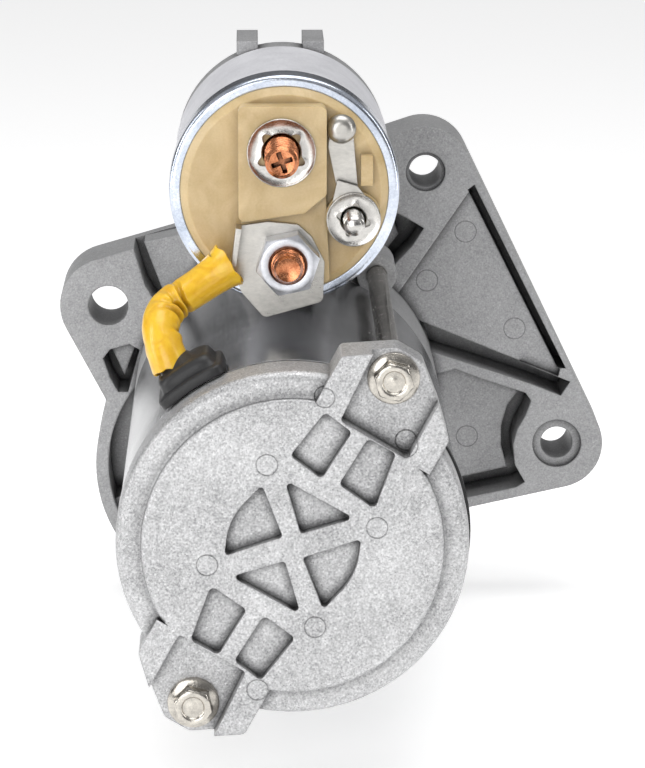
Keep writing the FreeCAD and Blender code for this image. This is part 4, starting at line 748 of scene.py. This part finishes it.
# The rubber grommet on the yoke's wall, in millimetres. Its middle stands at a turn about the motor axis.
# Rows: height, sideways middle, lengthwise middle, sideways half, lengthwise half, squareness.
grommetValues = {
    "turn": 123.5, "yoke": 40.1,
    "rows": [
        (0.2, 0, -150, 0.0, 0.0, 6), (0.2, 0, -150, 7.9, 8.0, 6), (0.35, 0, -150, 8.4, 8.4, 7),
        (2.1, 0, -150, 8.6, 8.5, 7), (2.5, 0, -150, 8.4, 8.3, 7), (2.6, 0, -150, 8.0, 7.9, 6),
        (2.6, -0.2, -149, 7.4, 6.9, 6), (2.8, -0.2, -149, 7.2, 6.7, 6), (4.0, -0.2, -149, 7.0, 6.5, 5),
        (4.9, -0.1, -148.8, 6.8, 6.3, 5), (5.3, 0.0, -148.6, 6.5, 6.0, 4),
        (5.35, 0.3, -148.2, 5.6, 5.3, 3), (5.5, 1.2, -147.6, 4.4, 4.4, 2.4),
        (7.4, 1.8, -147.2, 3.4, 3.4, 2), (7.4, 1.8, -147.2, 0.0, 0.0, 2)],
}


# Each row is a squared-off oval: its halves times a power of cosine and sine, at a height added to the
# square root of (yoke radius squared less sideways distance squared), so that it bends round the yoke.
def rubberGrommet(values):
    height, sideMiddle, lengthMiddle, sideHalf, lengthHalf, square = (
        column[:, None] for column in np.array(values["rows"]).T)
    turn = np.linspace(0, 2 * math.pi, 96, endpoint=False)
    cosine, sine = np.cos(turn), np.sin(turn)
    side = sideMiddle + sideHalf * np.sign(cosine) * np.abs(cosine) ** (2 / square)
    length = lengthMiddle + lengthHalf * np.sign(sine) * np.abs(sine) ** (2 / square)
    out = height + np.sqrt(values["yoke"] ** 2 - side ** 2)
    angle = math.radians(values["turn"])
    x = out * math.cos(angle) - side * math.sin(angle)
    z = out * math.sin(angle) + side * math.cos(angle)
    piece = gridPiece("rubberGrommet", np.stack([x, length, z], -1) * mm, sharp=50)
    install(piece, mouldings["blackRubber"], "black_rubber", "casing", "lead_grommet")


rubberGrommet(grommetValues)
print("grommet made")

# A wide paper floor under the lowest point, and a pale sky that lights the metals in soft bands.
floorValues = {"half": 6.0, "dark": (0.88, 0.88, 0.88), "light": (0.92, 0.92, 0.92), "glow": 0.45}
skyValues = {
    "strength": 0.45, "seen": (1.9, 1.9, 1.9),
    "stops": [(0.0, (0.5, 0.5, 0.5)), (0.47, (0.1, 0.1, 0.105)), (0.56, (0.3, 0.3, 0.31)),
              (0.72, (0.85, 0.85, 0.86)), (1.0, (1.0, 1.0, 1.0))],
}


def paperFloor(values):
    half, lowest = values["half"], cadBox[0].z
    corners = [(x * half, y * half, lowest) for x, y in ((-1, -1), (1, -1), (1, 1), (-1, 1))]
    mesh = bpy.data.meshes.new("studioFloor")
    mesh.from_pydata(corners, [], [(0, 1, 2, 3)])
    studioFloor = bpy.data.objects.new("studioFloor", mesh)
    bpy.context.scene.collection.objects.link(studioFloor)
    finish = Finish("paperSweep", Metallic=0.0, Specular_IOR_Level=0.2, Emission_Strength=values["glow"],
                    Emission_Color=(1, 1, 1))
    fibre = finish.noise(finish.place(), 3 * mm, 3.0)
    colour = finish.blend(fibre, values["dark"], values["light"])
    dress(studioFloor, finish.wear(Base_Color=colour, Roughness=fibre * 0.2 + 0.6))


# The sky's brightness follows the height of the direction it lies in, through a ramp. Where the camera
# sees the sky itself, it is one even pale tone instead.
def paleSky(values):
    world = bpy.data.worlds.new("studio")
    bpy.context.scene.world = world
    world.use_nodes = True
    sky = Maker(world.node_tree)
    up = sky.part(sky.add("TexCoord", output="Generated"), "Z")
    tone = sky.add("ValToRGB", {"stops": values["stops"]}, {"Fac": up * 0.5 + 0.5})
    seen = sky.add("LightPath", output="Is Camera Ray")
    background = world.node_tree.nodes["Background"]
    sky.feed(background.inputs["Color"], sky.blend(seen, tone, values["seen"]))
    background.inputs["Strength"].default_value = values["strength"]


paperFloor(floorValues)
paleSky(skyValues)

# Name, place, size, watts.
lampValues = [
    ("frontSoftbox", (-0.35, -1.15, 0.25), (0.6, 0.6), 3.6),
    ("leftStrip", (-0.9, -0.35, 0.25), (0.25, 0.9), 3.2),
    ("rightStrip", (0.9, -0.5, 0.3), (0.2, 0.8), 2.0),
    ("topSoftbox", (0.05, -0.15, 0.95), (0.8, 0.8), 5),
]
aim = Vector((0.0, -0.12, 0.03))
for name, place, (wide, tall), watts in lampValues:
    light = bpy.data.lights.new(name, "AREA")
    light.shape = "RECTANGLE"
    light.size = wide
    light.size_y = tall
    light.energy = watts
    lamp = bpy.data.objects.new(name, light)
    lamp.location = place
    lamp.rotation_euler = (aim - Vector(place)).to_track_quat("-Z", "Y").to_euler()
    bpy.context.scene.collection.objects.link(lamp)

cameraValues = {"place": (-0.0086, -0.9794, 0.2282), "towards": (0.01835, 0.97321, -0.22920), "lens": 176.0}
lens = bpy.data.cameras.new("studioCamera")
lens.lens = cameraValues["lens"]
lens.sensor_width = 36
camera = bpy.data.objects.new("studioCamera", lens)
camera.location = cameraValues["place"]
camera.rotation_euler = Vector(cameraValues["towards"]).to_track_quat("-Z", "Y").to_euler()
bpy.context.scene.collection.objects.link(camera)
bpy.context.scene.camera = camera
bpy.context.scene.view_settings.view_transform = "Standard"
print("studio ready")
